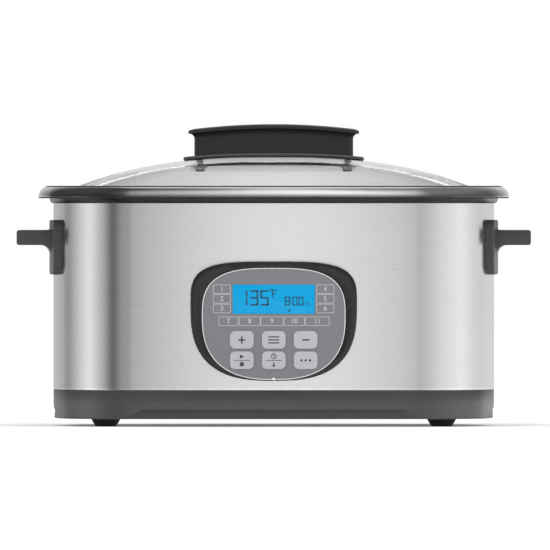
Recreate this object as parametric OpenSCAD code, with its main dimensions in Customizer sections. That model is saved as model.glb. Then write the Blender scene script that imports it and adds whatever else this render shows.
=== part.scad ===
// Oblong electric yogurt maker and cooker: a brushed steel body on a plastic base, with a lift-out pot,
// a domed glass lid, two side handles and a control panel with six keys.
// Millimetres, +Z up. The front faces -Y and the origin is on the table, under the middle of the body.

/* [Body] */
// Length of the steel body over its ends
body_l = 353; // [320:1:400]
// Depth of the steel body from front to back
body_d = 248; // [225:1:290]
// Radius of the four upright corners
corner_r = 62; // [45:1:75]
// Radius of the slight bow of the front and the back
front_bow_r = 1500; // [900:50:4000]
// Radius of the bow of the two ends
end_bow_r = 320; // [260:10:600]
// Height of the steel that shows
shell_h = 149; // [125:1:180]
// Thickness of the steel sheet
shell_t = 0.8; // [0.5:0.1:1.2]
// How far the ring above the steel stands out
neck_overhang = 3.2; // [2:0.1:5]
// Height of the ring that shows under the pot's rim
neck_h = 4; // [3:0.5:8]

/* [Base and feet] */
// Height of the plastic base
base_h = 23; // [21:1:34]
// Wall of the plastic base
base_wall = 3; // [2.4:0.1:4]
// Depth of the recess along the foot of each side
recess_depth = 1.2; // [0.6:0.1:2]
// Height of that recess
recess_h = 6; // [4:0.5:9]
// Length of the recess along its top, front and back
recess_l = 208.8; // [160:1:216]
// Thickness of the bottom cover
cover_t = 2; // [1.5:0.1:3]
// Height of the feet
foot_h = 6; // [5:0.5:12]
// Diameter of a foot against the cover
foot_top_d = 23; // [18:0.5:26]
// Diameter of a foot on the table
foot_bottom_d = 17; // [12:0.5:18]
// Distance of a foot's middle from the end of the body
foot_inset_x = 42.5; // [38:0.5:60]
// Distance of a foot's middle from the front or back of the body
foot_inset_y = 40; // [36:0.5:60]

/* [Pot] */
// How far the pot's rolled rim stands out past the steel
rim_overhang = 12; // [9:0.5:18]
// Height of the rolled rim
rim_h = 10; // [9:0.5:15]
// Outer radius of the roll
rim_r = 9; // [6:0.5:9]
// Wall of the pot
pot_t = 2; // [1.4:0.1:3]
// Air between the pot and the liner
pot_gap = 2.5; // [1.5:0.1:5]
// Radius inside the pot between wall and floor
pot_floor_r = 24; // [12:1:40]
// Width of the ledge that carries the lid
lid_seat_w = 9; // [7.5:0.1:12]
// Depth of that ledge under the top of the rim
lid_seat_drop = 5.4; // [4:0.1:6.2]

/* [Liner and heater] */
// Distance of the liner from the outside of the steel
liner_inset = 18.7; // [17:0.1:26]
// Thickness of the liner sheet
liner_t = 0.8; // [0.5:0.1:1.2]
// Height of the liner's floor over the top of the base
liner_lift = 9.2; // [8:0.1:16]
// Length of the heating plate
plate_l = 190; // [180:1:230]
// Depth of the heating plate
plate_d = 120; // [110:1:150]
// Thickness of the heating plate
plate_t = 9; // [7:0.5:14]
// Height of the legs under the heating plate
plate_leg_h = 8.4; // [8.2:0.1:14]
// Diameter of the heating tube
element_d = 7; // [5:0.5:7]
// Diameter of the sprung temperature sensor
sensor_d = 18; // [14:0.5:22]

/* [Lid] */
// Height of the glass dome over the pot's rim
dome_h = 23; // [16:0.5:40]
// Thickness of the glass
glass_t = 4; // [3:0.5:6]
// Gap round the lid inside the pot's rim
lid_clear = 0.5; // [0.3:0.1:1]
// Sheet of the steel band round the glass
band_t = 0.8; // [0.5:0.1:1]

/* [Lid handle] */
// Length of the upright part of the handle
handle_l = 127.2; // [100:0.1:140]
// Thickness of the upright part
handle_w = 17; // [14:0.5:24]
// Height of the handle's top over the top of the dome
handle_h = 26.4; // [20:0.1:40]
// How far the top flares out, and the radius of the flare
handle_flare = 4.8; // [3:0.1:8]
// Thickness of the flared top at its edge
flange_t = 2.6; // [2:0.1:5]
// Rise of the handle's arched top from its ends to its middle
handle_arch = 4.4; // [0:0.1:8]
// How far the seat under the handle stands out past it
seat_margin = 8.8; // [4:0.1:14]
// Thickness of the seat under the handle
seat_t = 3.2; // [2:0.1:5]
// Thickness of the backing strip under the glass
strip_t = 1.8; // [1.2:0.1:3]
// Distance of the lid screws from the end of the handle
lid_screw_inset = 4.6; // [4.4:0.1:12]
// Diameter of the lid screws
lid_screw_d = 4; // [3:0.5:5]

/* [Side handles] */
// Height of the handles' lower edge over the base
handle_rise = 92; // [70:1:100]
// Height of a handle's plate
side_plate_h = 43.6; // [38:0.1:50]
// Length of a handle's plate along the body
side_plate_l = 134; // [124:1:138]
// Thickness of the plate in its middle
side_plate_t = 3.2; // [2.5:0.1:5]
// Radius of the plate's outer face
side_face_r = 590; // [450:10:900]
// Height of the grip over the plate's lower edge
grip_rise = 23.6; // [18:0.1:26]
// Thickness of the grip
grip_t = 12; // [10:0.1:16]
// Length of the grip
grip_l = 104; // [90:1:116]
// Reach of the grip from the steel
grip_reach = 29.1; // [22:0.1:45]
// Fillet under the grip
grip_fillet = 7.5; // [3:0.1:12]

/* [Control panel] */
// Height of the panel's widest line over the base
panel_rise = 67.6; // [64:0.1:80]
// Width of the panel's frame
bezel_w = 132.8; // [124:0.1:150]
// Height of the frame above its widest line
bezel_up = 35; // [34:0.1:45]
// Height of the frame below its widest line
bezel_down = 60; // [58:0.1:62]
// How far the frame stands out from the steel
bezel_proud = 7; // [5:0.1:10]
// Width of the frame at its sides
border_side = 10; // [5:0.1:11]
// Width of the frame at its top
border_top = 5.8; // [3:0.1:7]
// Width of the frame at its bottom
border_bottom = 1.6; // [1.5:0.1:3]
// How far the fascia's widest line lies below the frame's
waist_drop = 8.8; // [6:0.1:10]
// Width of the bright line round the fascia
trim_w = 0.8; // [0.5:0.1:1]
// Thickness of the fascia
fascia_t = 2.2; // [1.6:0.1:3]
// Width of the display
lcd_w = 65.7; // [55:0.1:72]
// Height of the display
lcd_h = 23.5; // [18:0.1:26]
// Height of the display's middle over the widest line
lcd_rise = 5; // [3:0.1:8]
// Width of a key
key_w = 19; // [15:0.1:21]
// Height of a key
key_h = 14.3; // [10:0.1:14.4]
// Corner radius of a key
key_r = 4; // [2:0.1:4.5]
// Distance between the columns of keys
key_pitch_x = 25.4; // [23.6:0.1:27]
// Distance between the rows of keys
key_pitch_z = 16.3; // [16:0.1:17.5]
// Depth of the upper row below the widest line
key_drop = 27.3; // [26:0.1:28]
// Travel of a key
key_travel = 0.5; // [0.3:0.1:0.8]
// Diameter of the status light
light_d = 2.4; // [1.6:0.1:2.4]

/* [Power inlet] */
// Height of the inlet over the base
inlet_rise = 23; // [20:0.5:40]
// Width of the inlet's flange
inlet_flange_w = 50; // [46:0.5:60]
// Height of the inlet's flange
inlet_flange_h = 28; // [25:0.5:32]
// Width of the socket
socket_w = 24.5; // [24:0.1:26]
// Height of the socket
socket_h = 17; // [16.5:0.1:18]
// Depth of the socket
socket_depth = 12; // [11:0.1:12.5]
// Length of the contact pins in the socket
pin_l = 7; // [6:0.1:7.5]

/* [Electronics] */
// Length of the power board
board_l = 110; // [104:1:120]
// Depth of the power board
board_d = 66; // [62:1:70]
// Thickness of both circuit boards
board_t = 1.6; // [1:0.1:2]
// Height of the posts under the power board
board_post_h = 8; // [6:0.5:9]

/* [Fits] */
// Radial play of a screw or stem in its hole, and of the sensor in its guide
running_fit = 0.06; // [0.03:0.01:0.1]
// Gap round a piece that is dropped or pressed into an opening
slip_fit = 0.2; // [0.1:0.05:0.3]
// Play of a screw in a clearance hole
hole_play = 0.3; // [0.2:0.1:0.5]

/* [Hidden] */
$fn = 48;

// Heights, from the table up
base_z = foot_h;
base_top = base_z + base_h;
cover_top = base_z + cover_t;
steel_top = base_top + shell_h;
lip_z = steel_top + neck_h;
rim_top = lip_z + rim_h;
land_z = rim_top - pot_t;
seat_z = rim_top - lid_seat_drop;
// How far the steel reaches up into the ring
shell_tuck = 0.7;
shell_top = lip_z + shell_tuck;
shelf_z = lip_z - liner_t;
shelf_t = 2;
liner_floor = base_top + liner_lift;
liner_top = liner_floor + liner_t;
plate_z = liner_top + plate_leg_h;
plate_top = plate_z + plate_t;
dome_top = rim_top + dome_h;
// Depth of the glass's edge under the top of the rim
glass_edge_drop = 1.4;
dome_edge_z = rim_top - glass_edge_drop;
panel_z = base_top + panel_rise;
side_plate_z = base_top + handle_rise;
grip_z = side_plate_z + grip_rise;
inlet_z = base_top + inlet_rise;
board_z = cover_top + board_post_h;
board_top = board_z + board_t;

// Distances from the outside of the steel, inwards as negative numbers
half_l = body_l / 2;
half_d = body_d / 2;
liner_out = -liner_inset;
liner_in = liner_out - liner_t;
pot_out = liner_in - pot_gap;
pot_in = pot_out - pot_t;
step_in = pot_in + lid_seat_w;
band_out = step_in - lid_clear;
glass_out = band_out - band_t - slip_fit;
glass_in = glass_out - glass_t;

// Centres of the arcs that make the body's plan: an end, the back and a corner between them
end_c = [half_l - end_bow_r, 0];
back_c = [0, half_d - front_bow_r];
centre_gap = norm(back_c - end_c);
to_back = (back_c - end_c) / centre_gap;
end_reach = end_bow_r - corner_r;
back_reach = front_bow_r - corner_r;
along = (end_reach * end_reach - back_reach * back_reach + centre_gap * centre_gap) / (2 * centre_gap);
aside = sqrt(end_reach * end_reach - along * along);
corner_c = end_c + along * to_back + aside * [-to_back.y, to_back.x];
end_angle = atan2(corner_c.y, corner_c.x - end_c.x);
back_angle = atan2(corner_c.y - back_c.y, corner_c.x);
// Points on each arc of the plan
steps = 8;
// How far a cut runs past the face that it opens
over = 5;

// Points along an arc, without its last one
function arc(c, r, a0, a1) = [for (i = [0:steps - 1])
    let (t = a0 + (a1 - a0) * i / steps) [c.x + r * cos(t), c.y + r * sin(t)]];

// The body's plan, moved outwards by d, anticlockwise from the right end
function plan(d) = concat(
    arc(end_c, end_bow_r + d, -end_angle, end_angle),
    arc(corner_c, corner_r + d, end_angle, back_angle),
    arc(back_c, front_bow_r + d, back_angle, 180 - back_angle),
    arc([-corner_c.x, corner_c.y], corner_r + d, 180 - back_angle, 180 - end_angle),
    arc(-end_c, end_bow_r + d, 180 - end_angle, 180 + end_angle),
    arc(-corner_c, corner_r + d, 180 + end_angle, 180 + back_angle),
    arc(-back_c, front_bow_r + d, 180 + back_angle, 360 - back_angle),
    arc([corner_c.x, -corner_c.y], corner_r + d, 360 - back_angle, 360 - end_angle));

// Distance of the back from the middle, at x, moved outwards by d
function back_y(x, d) = back_c.y + sqrt(pow(front_bow_r + d, 2) - x * x);

// Distance of the right end from the middle, at y, moved outwards by d
function end_x(y, d) = end_c.x + sqrt(pow(end_bow_r + d, 2) - y * y);

// A ring of the plan at height z, drawn in towards the middle by the factor s
function ring(d, z, s = 1) = [for (p = plan(d)) [s * p.x, s * p.y, z]];

// A rounded rectangle, anticlockwise, with more points along its two long sides
function rounded(l, w, r, n = 4, more = 0) = [for (q = [[1, 1, 0], [-1, 1, 90], [-1, -1, 180], [1, -1, 270]])
    each concat([for (i = [0:n]) [q.x * (l / 2 - r) + r * cos(q.z + 90 * i / n),
            q.y * (w / 2 - r) + r * sin(q.z + 90 * i / n)]],
        [for (i = [1:1:more]) if (q.x == q.y) [q.x * (l / 2 - r) * (1 - 2 * i / (more + 1)), q.y * w / 2]])];

// The panel's outline: two half ovals with squared shoulders that meet on its widest line
function shield(half_w, up, down, square_up, square_down, n = 56) = [for (i = [0:n - 1])
    let (c = cos(360 * i / n), s = sin(360 * i / n), k = 2 / (s >= 0 ? square_up : square_down))
    [half_w * sign(c) * pow(abs(c), k), (s >= 0 ? up : down) * sign(s) * pow(abs(s), k)]];

// Points along a cubic curve from p0 to p3
function curve(p0, p1, p2, p3, n) = [for (i = [0:n]) let (t = i / n, u = 1 - t)
    u * u * u * p0 + 3 * u * u * t * p1 + 3 * u * t * t * p2 + t * t * t * p3];

function unit(v) = v / norm(v);

// Direction of a path at each of its points
function headings(path) = let (m = len(path) - 1)
    [for (i = [0:m]) unit(path[min(i + 1, m)] - path[max(i - 1, 0)])];

// Rings of a round tube along a path, each turned as little as it can from the one before
function tube_rings(path, r, sides) = let (
    t = headings(path),
    start = abs(t[0].z) < 0.9 ? [0, 0, 1] : [1, 0, 0],
    across = [for (i = 0, v = unit(start - (start * t[0]) * t[0]); i < len(path); i = i + 1,
        v = i < len(path) ? unit(v - (v * t[i]) * t[i]) : v) v])
    [for (i = [0:len(path) - 1]) let (up = cross(t[i], across[i]))
        [for (k = [0:sides - 1]) let (a = 360 * k / sides) path[i] + r * (cos(a) * across[i] + sin(a) * up)]];

// A solid through rings of equal even length, closed by strips across its ends or, looped, joined from
// last to first
module skin(rings, loop = false) {
    n = len(rings[0]);
    m = len(rings);
    sides = [for (j = [0:m - (loop ? 1 : 2)], i = [0:n - 1])
        let (k = (i + 1) % n, up = ((j + 1) % m) * n, at = j * n)
        each [[at + i, up + i, at + k], [at + k, up + i, up + k]]];
    strip = [for (i = [0:n / 2 - 2]) each [[i, i + 1, n - 1 - i], [i + 1, n - 2 - i, n - 1 - i]]];
    last = [for (f = strip) [for (k = [2:-1:0]) (m - 1) * n + f[k]]];
    polyhedron([for (r = rings) each r], concat(sides, loop ? [] : concat(strip, last)));
}

// A ring or a bowl round the body with a section of [distance, height] points
module sweep_round(section, loop = false) {
    skin([for (p = section) ring(p.x, p.y)], loop);
}

module block(d, z0, z1) {
    translate([0, 0, z0]) linear_extrude(z1 - z0) polygon(plan(d));
}

module wall(d_out, d_in, z0, z1) {
    translate([0, 0, z0]) linear_extrude(z1 - z0) difference() {
        polygon(plan(d_out));
        polygon(plan(d_in));
    }
}

module tube(path, d, sides = 8) {
    skin(tube_rings(path, d / 2, sides));
}

module upright(at, d, z0, z1) {
    translate([at.x, at.y, z0]) cylinder(d = d, h = z1 - z0);
}

// Lid

dome_power = 2.6;
dome_steps = [1, 0.95, 0.88, 0.8, 0.7, 0.6, 0.5, 0.38, 0.25, 0.1];
inner_edge_z = seat_z + band_t;
inner_top = dome_top - glass_t;
lid_screw_x = handle_l / 2 - lid_screw_inset;
handle_top = dome_top + handle_h;
bushing_wall = 1.1;
bushing_d = lid_screw_d + 2 * bushing_wall;
washer_t = 1;
washer_d = 2.5 * lid_screw_d;
strip_margin = 2.4;
strip_side = 3.5;
strip_w = handle_w + 2 * strip_side;
seat_side = 7.5;
seat_w = handle_w + 2 * seat_side;
// Plastic left above the lid screws' holes, and the room past the screws' tips
handle_roof = 10;
tip_gap = 1;
// Share of the dome that the handle's pieces are cut to
dome_middle = 0.6;

function outer_z(s) = dome_top - (dome_top - dome_edge_z) * pow(s, dome_power);
function inner_z(s) = inner_top - (inner_top - inner_edge_z) * pow(s, dome_power);

// Flat underside of the pads that carry the lid screws
pad_margin = 1;
pad_d = washer_d + 2 * pad_margin;
pad_z = inner_z((lid_screw_x + pad_d / 2) / (half_l + glass_in)) - strip_t;

// The room under the middle of the glass's outside, raised by rise
module under_dome(rise) {
    middle = [for (s = dome_steps) if (s <= dome_middle) s];
    skin(concat([ring(glass_out, seat_z, middle[0])],
        [for (s = middle) ring(glass_out, outer_z(s) + rise, s)]));
}

// The room under the middle of the glass's inside, lowered by drop
module under_glass(drop) {
    middle = [for (s = dome_steps) if (s <= dome_middle) s];
    skin(concat([ring(glass_in, seat_z - glass_t, middle[0])],
        [for (s = middle) ring(glass_in, inner_z(s) - drop, s)]));
}

module at_lid_screws() {
    for (side = [-1, 1]) translate([side * lid_screw_x, 0, 0]) children();
}

module lid_glass() {
    color("lightcyan", 0.4) difference() {
        skin(concat([for (i = [len(dome_steps) - 1:-1:0])
                ring(glass_in, inner_z(dome_steps[i]), dome_steps[i])],
            [ring(glass_out, inner_edge_z)],
            [for (s = dome_steps) ring(glass_out, outer_z(s), s)]));
        at_lid_screws() upright([0, 0], bushing_d + 2 * running_fit, seat_z, handle_top);
    }
}

module lid_band() {
    band_h = 3.4;
    band_in = glass_in - 1;
    color("silver") sweep_round([[band_out, seat_z], [band_out, seat_z + band_h],
        [band_out - band_t, seat_z + band_h], [band_out - band_t, inner_edge_z], [band_in, inner_edge_z],
        [band_in, seat_z]], true);
}

handle_corner_r = 4;

// One level of the handle, o wider all round than its upright part
function handle_ring(o, z) = [for (p = rounded(handle_l + 2 * o, handle_w + 2 * o, handle_corner_r + o, 4, 7))
    [p.x, p.y, z - handle_arch * pow(p.x / (handle_l / 2 + handle_flare), 2)]];

module lid_handle() {
    crown = 0.8;
    crown_in = 5;
    edge_r = 0.8;
    sunk = 5;
    edge_z = handle_top - crown;
    under_z = edge_z - flange_t;
    flare = [for (a = [0:15:90]) [handle_flare * (1 - cos(a)), under_z - handle_flare * (1 - sin(a))]];
    color("#2e2e2e") difference() {
        skin(concat([handle_ring(0, dome_top - sunk)], [for (p = flare) handle_ring(p.x, p.y)],
            [handle_ring(handle_flare, edge_z - edge_r), handle_ring(handle_flare - edge_r, edge_z),
                handle_ring(handle_flare - crown_in, handle_top)]));
        under_dome(seat_t);
        at_lid_screws() upright([0, 0], lid_screw_d + 2 * running_fit, seat_z, handle_top - handle_roof);
    }
}

module lid_handle_seat() {
    color("#505050") difference() {
        intersection() {
            translate([0, 0, seat_z]) linear_extrude(handle_top - seat_z)
                polygon(rounded(handle_l + 2 * seat_margin, seat_w, 8));
            under_dome(seat_t);
        }
        under_dome(0);
        at_lid_screws() upright([0, 0], lid_screw_d + 2 * hole_play, seat_z, handle_top);
    }
}

module lid_backing_strip() {
    color("#3a3a3a") difference() {
        union() {
            difference() {
                intersection() {
                    translate([0, 0, seat_z - glass_t]) linear_extrude(dome_top)
                        polygon(rounded(handle_l + 2 * strip_margin, strip_w, 6));
                    under_glass(running_fit);
                }
                under_glass(strip_t);
            }
            intersection() {
                at_lid_screws() upright([0, 0], pad_d, pad_z, dome_top);
                under_glass(running_fit);
            }
        }
        at_lid_screws() upright([0, 0], lid_screw_d + 2 * hole_play, seat_z - glass_t, dome_top);
    }
}

module lid_bushings() {
    s_out = lid_screw_x / (half_l + glass_out);
    s_in = lid_screw_x / (half_l + glass_in);
    ease = 0.5;
    color("white") at_lid_screws() difference() {
        upright([0, 0], bushing_d, inner_z(s_in) + ease, outer_z(s_out) - ease);
        upright([0, 0], lid_screw_d + 2 * running_fit, seat_z, dome_top);
    }
}

module lid_washers() {
    color("silver") at_lid_screws() difference() {
        upright([0, 0], washer_d, pad_z - washer_t, pad_z);
        upright([0, 0], lid_screw_d + 2 * hole_play, pad_z - 2 * washer_t, dome_top);
    }
}

module lid_screws() {
    head_z = pad_z - washer_t;
    head_t = 0.6 * lid_screw_d;
    color("silver") at_lid_screws() {
        upright([0, 0], lid_screw_d, head_z - head_t / 2, handle_top - handle_roof - tip_gap);
        upright([0, 0], 2 * lid_screw_d, head_z - head_t, head_z);
    }
}

// Pot

module inner_pot() {
    lip_in = rim_overhang - pot_t;
    roll_d = rim_overhang - rim_r;
    roll_z = rim_top - rim_r;
    step_out = step_in + pot_t;
    ease = 1;
    out_r = pot_floor_r + pot_t;
    turns = [0:22.5:90];
    quarter = [0:18:90];
    color("#3c3f42") sweep_round(concat(
        [for (a = turns) [pot_out - out_r + out_r * sin(a), plate_top + out_r - out_r * cos(a)]],
        [[pot_out, seat_z - pot_t], [step_out, seat_z - pot_t], [step_out, land_z]],
        [for (a = quarter) [roll_d + (rim_r - pot_t) * sin(a), roll_z + (rim_r - pot_t) * cos(a)]],
        [[lip_in, lip_z], [rim_overhang, lip_z]],
        [for (a = quarter) [roll_d + rim_r * cos(a), roll_z + rim_r * sin(a)]],
        [[step_in + ease, rim_top], [step_in, rim_top - ease], [step_in, seat_z], [pot_in + ease, seat_z],
            [pot_in, seat_z - ease]],
        [for (a = turns) [pot_in - pot_floor_r + pot_floor_r * cos(a),
            plate_top + pot_t + pot_floor_r - pot_floor_r * sin(a)]]));
}

// Body

// Play of the steel in the groove of the ring and round the base's tongue
groove_play = 0.25;
// Inner side of the ring's leg and of its shelf, which carries the liner
leg_in = -2.8;
shelf_in = -12;

module top_ring() {
    groove_top = shell_top + groove_play;
    inner = -shell_t - groove_play;
    ease = 1;
    color("gainsboro") sweep_round(concat(
        [for (a = [0:22.5:90]) [groove_play + (neck_overhang - groove_play) * sin(a),
            steel_top + neck_h * (1 - cos(a))]],
        [[neck_overhang, land_z - ease], [neck_overhang - ease, land_z], [leg_in, land_z], [leg_in, shelf_z],
            [shelf_in, shelf_z], [shelf_in, shelf_z - shelf_t], [inner, shelf_z - shelf_t],
            [inner, groove_top], [groove_play, groove_top]]), true);
}

// Screws that hold the side handles, from inside the steel
handle_screw_d = 3.6;
handle_screw_y = 35;
handle_screw_z = grip_z + grip_t / 2;
handle_head_d = 7;

module at_handle_screws() {
    for (side = [0, 1], y = [-1, 1]) mirror([side, 0, 0])
        translate([0, y * handle_screw_y, handle_screw_z]) rotate([0, 90, 0]) children();
}

module outer_shell() {
    color("lightgray") difference() {
        wall(0, -shell_t, base_top, shell_top);
        on_front(-half_d - over, -half_d + over) offset(delta = sleeve_t + slip_fit) panel_opening();
        at_handle_screws() cylinder(d = handle_screw_d + 2 * hole_play, h = half_l + over);
        on_back(half_d - over, half_d + over)
            square([inlet_body_w + 2 * slip_fit, inlet_body_h + 2 * slip_fit], center = true);
        at_inlet_screws() cylinder(d = inlet_screw_d + 2 * running_fit, h = 2 * over, center = true);
    }
}

module inner_liner() {
    flange_out = leg_in - groove_play;
    color("silver") difference() {
        union() {
            block(liner_out, liner_floor, shelf_z + liner_t);
            wall(flange_out, liner_in, shelf_z, shelf_z + liner_t);
        }
        block(liner_in, liner_top, rim_top);
        at_ties() upright([0, 0], tie_d + 2 * hole_play, liner_floor - over, liner_top + over);
        at_plate_legs() upright([0, 0], heater_screw_d + 2 * hole_play, liner_floor - over, liner_top + over);
        for (y = [-1, 1]) upright([element_end.x, y * element_end.y], element_d + 2 * element_room,
            liner_floor - over, liner_top + over);
    }
}

// Base

tongue_h = 7;
// The ledge that the bottom cover is screwed to, and the edge of the base round the cover
ledge_t = 2.5;
ledge_in = -10;
cover_edge = 2.6;
cover_screw_d = 2.4;
cover_screw_x = 60;
cover_screw_in = -6.5;
cover_boss_d = 7.6;
cover_boss_h = 10;

module at_cover_screws() {
    y = back_y(cover_screw_x, cover_screw_in);
    x = half_l + cover_screw_in;
    for (side = [-1, 1]) {
        for (row = [-1, 1]) translate([side * cover_screw_x, row * y, 0]) children();
        translate([side * x, 0, 0]) children();
    }
}

// A recess at the foot of one side: slanted at its ends, cut into the wall by its depth
module recess_cut(l) {
    lift = 1.4;
    bottom = base_z + lift;
    slant = 10;
    rotate([90, 0, 0]) linear_extrude(body_l, center = true) polygon([[-l / 2 - slant, bottom],
        [l / 2 + slant, bottom], [l / 2, bottom + recess_h], [-l / 2, bottom + recess_h]]);
}

module base_housing() {
    inner = -shell_t - groove_play;
    end_recess_l = 84;
    heel = 1.6;
    seam = 0.4;
    color("#4d4d4d") difference() {
        union() {
            sweep_round([[-heel, base_z], [-0.3 * heel, base_z + 0.3 * heel], [0, base_z + heel],
                [0, base_top - seam], [-seam, base_top], [inner, base_top], [inner, base_top + tongue_h],
                [-base_wall, base_top + tongue_h], [-base_wall, cover_top + ledge_t],
                [ledge_in, cover_top + ledge_t], [ledge_in, cover_top], [-cover_edge, cover_top],
                [-cover_edge, base_z]], true);
            at_cover_screws() upright([0, 0], cover_boss_d, cover_top, cover_top + cover_boss_h);
        }
        intersection() {
            wall(over, -recess_depth, base_z, base_top);
            union() {
                recess_cut(recess_l);
                rotate([0, 0, 90]) recess_cut(end_recess_l);
            }
        }
        at_cover_screws() upright([0, 0], cover_screw_d + 2 * running_fit, base_z,
            cover_top + cover_boss_h - tip_gap);
    }
}

// Distance of the power board's middle from the back, and of its screws from its edges
board_inset = 72;
board_y = half_d - board_inset;
board_screw_d = 2.4;
board_screw_in = 5;
board_post_d = 7;

module at_board_screws() {
    for (x = [-1, 1], y = [-1, 1])
        translate([x * (board_l / 2 - board_screw_in), board_y + y * (board_d / 2 - board_screw_in), 0])
            children();
}

// Posts that tie the liner to the base
tie_d = 4;
tie_inset = [71.5, 74];

module at_ties() {
    for (x = [-1, 1], y = [-1, 1])
        translate([x * (half_l - tie_inset.x), y * (half_d - tie_inset.y), 0]) children();
}

stem_d = 7;

// Heads of the cover's screws and of the ties lie in the cover's thickness, so that only the feet stand out
sunk_head_t = 0.6 * cover_t;
cover_head_d = 2.2 * cover_screw_d;
tie_head_d = 2 * tie_d;

module bottom_cover() {
    slot_l = 46;
    slot_w = 3;
    slot_pitch = 9;
    slot_gap = 18;
    slot_y = 66;
    color("#3c3c3c") difference() {
        union() {
            block(-cover_edge - slip_fit, base_z, cover_top);
            at_board_screws() upright([0, 0], board_post_d, base_z, board_z);
        }
        at_feet() upright([0, 0], stem_d + 2 * running_fit, 0, board_z);
        at_ties() {
            upright([0, 0], tie_d + 2 * hole_play, 0, board_z);
            upright([0, 0], tie_head_d + 2 * hole_play, 0, base_z + sunk_head_t);
        }
        at_cover_screws() {
            upright([0, 0], cover_screw_d + 2 * hole_play, 0, board_z);
            upright([0, 0], cover_head_d + 2 * hole_play, 0, base_z + sunk_head_t);
        }
        at_board_screws() upright([0, 0], board_screw_d + 2 * running_fit, cover_top, board_top);
        for (x = [-1, 1], k = [-2:2])
            translate([x * (slot_l + slot_gap) / 2, slot_y - half_d + slot_pitch * k, base_z + cover_t / 2])
                cube([slot_l, slot_w, 2 * cover_t], center = true);
    }
}

module cover_screws() {
    color("silver") at_cover_screws() {
        upright([0, 0], cover_screw_d, base_z + sunk_head_t / 2, cover_top + cover_boss_h - 2 * tip_gap);
        upright([0, 0], cover_head_d, base_z, base_z + sunk_head_t);
    }
}

module at_feet() {
    for (x = [-1, 1], y = [-1, 1])
        translate([x * (half_l - foot_inset_x), y * (half_d - foot_inset_y), 0]) children();
}

// A rubber foot pushed through the cover by its stem
module foot(x, y) {
    bulb_d = 10;
    bulb_h = 3.4;
    bulb_z = cover_top + running_fit;
    color("#202020") translate([x * (half_l - foot_inset_x), y * (half_d - foot_inset_y), 0])
        rotate_extrude() polygon([[0, 0], [foot_bottom_d / 2, 0], [foot_top_d / 2, foot_h],
            [stem_d / 2, foot_h], [stem_d / 2, bulb_z], [bulb_d / 2, bulb_z], [stem_d / 2, bulb_z + bulb_h],
            [0, bulb_z + bulb_h]]);
}

module foot_front_left() { foot(-1, -1); }
module foot_front_right() { foot(1, -1); }
module foot_rear_left() { foot(-1, 1); }
module foot_rear_right() { foot(1, 1); }

tie_nut_h = 3.2;

module tie_screws() {
    color("silver") at_ties() {
        upright([0, 0], tie_d, base_z + sunk_head_t / 2, liner_top + tie_nut_h + tip_gap);
        upright([0, 0], tie_head_d, base_z, base_z + sunk_head_t);
    }
}

module tie_spacers() {
    color("silver") at_ties() difference() {
        upright([0, 0], 2.5 * tie_d, cover_top, liner_floor);
        upright([0, 0], tie_d + 2 * hole_play, base_z, liner_top);
    }
}

module tie_nuts() {
    color("silver") at_ties() translate([0, 0, liner_top]) difference() {
        cylinder(d = 2 * tie_d, h = tie_nut_h, $fn = 6);
        cylinder(d = tie_d + 2 * running_fit, h = 4 * tie_nut_h, center = true);
    }
}

// Side handles

// Plastic left past the handle screws' holes
grip_end_t = 12;

module side_handle() {
    shoulder = 5;
    heel = 10;
    nose = 2;
    top_z = side_plate_z + side_plate_h;
    grip_out = half_l + grip_reach;
    root = half_l + side_plate_t;
    color("#555555") difference() {
        union() {
            intersection() {
                translate([0, 0, side_plate_z]) linear_extrude(side_plate_h) intersection() {
                    translate([root - side_face_r, 0]) circle(r = side_face_r, $fn = 180);
                    translate([half_l / 2, -side_plate_l / 2]) square([half_l, side_plate_l]);
                }
                rotate([90, 0, 90]) linear_extrude(2 * half_l) polygon(concat(
                    [for (a = [0:18:90]) [side_plate_l / 2 - shoulder + shoulder * cos(a),
                        top_z - shoulder + shoulder * sin(a)]],
                    [for (a = [90:18:180]) [-side_plate_l / 2 + shoulder + shoulder * cos(a),
                        top_z - shoulder + shoulder * sin(a)]],
                    [for (a = [180:18:270]) [-side_plate_l / 2 + heel + heel * cos(a),
                        side_plate_z + heel + heel * sin(a)]],
                    [for (a = [270:18:360]) [side_plate_l / 2 - heel + heel * cos(a),
                        side_plate_z + heel + heel * sin(a)]]));
            }
            translate([0, grip_l / 2, 0]) rotate([90, 0, 0]) linear_extrude(grip_l) polygon(concat(
                [[half_l / 2, grip_z - grip_fillet], [root - side_plate_t, grip_z - grip_fillet]],
                [for (a = [180:-18:90]) [root + grip_fillet + grip_fillet * cos(a),
                    grip_z - grip_fillet + grip_fillet * sin(a)]],
                [for (a = [270:30:360]) [grip_out - nose + nose * cos(a), grip_z + nose + nose * sin(a)]],
                [for (a = [0:30:90]) [grip_out - nose + nose * cos(a),
                    grip_z + grip_t - nose + nose * sin(a)]],
                [[half_l / 2, grip_z + grip_t]]));
        }
        block(0, 0, rim_top);
        at_handle_screws() cylinder(d = handle_screw_d + 2 * running_fit, h = grip_out - grip_end_t);
    }
}

module right_handle() { side_handle(); }
module left_handle() { mirror([1, 0, 0]) side_handle(); }

module handle_screws() {
    head_x = end_x(handle_screw_y + handle_head_d / 2, -shell_t) - slip_fit;
    head_t = 2.4;
    start_x = head_x - head_t;
    color("silver") at_handle_screws() translate([0, 0, start_x]) {
        cylinder(d = handle_screw_d, h = half_l + grip_reach - grip_end_t - tip_gap - start_x);
        cylinder(d = handle_head_d, h = head_t);
    }
}

// Heater

heater_screw_d = 3;
guide_wall = 2;
guide_d = sensor_d + 2 * guide_wall;
guide_room = 1;
// Gap between the sensor and the pot, and the sensor cap's wall and roof
sensor_rest = 0.3;
sensor_wall = 1.5;
sensor_roof = 2;
sensor_top = plate_top - sensor_rest;
guide_floor_t = 1;
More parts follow.
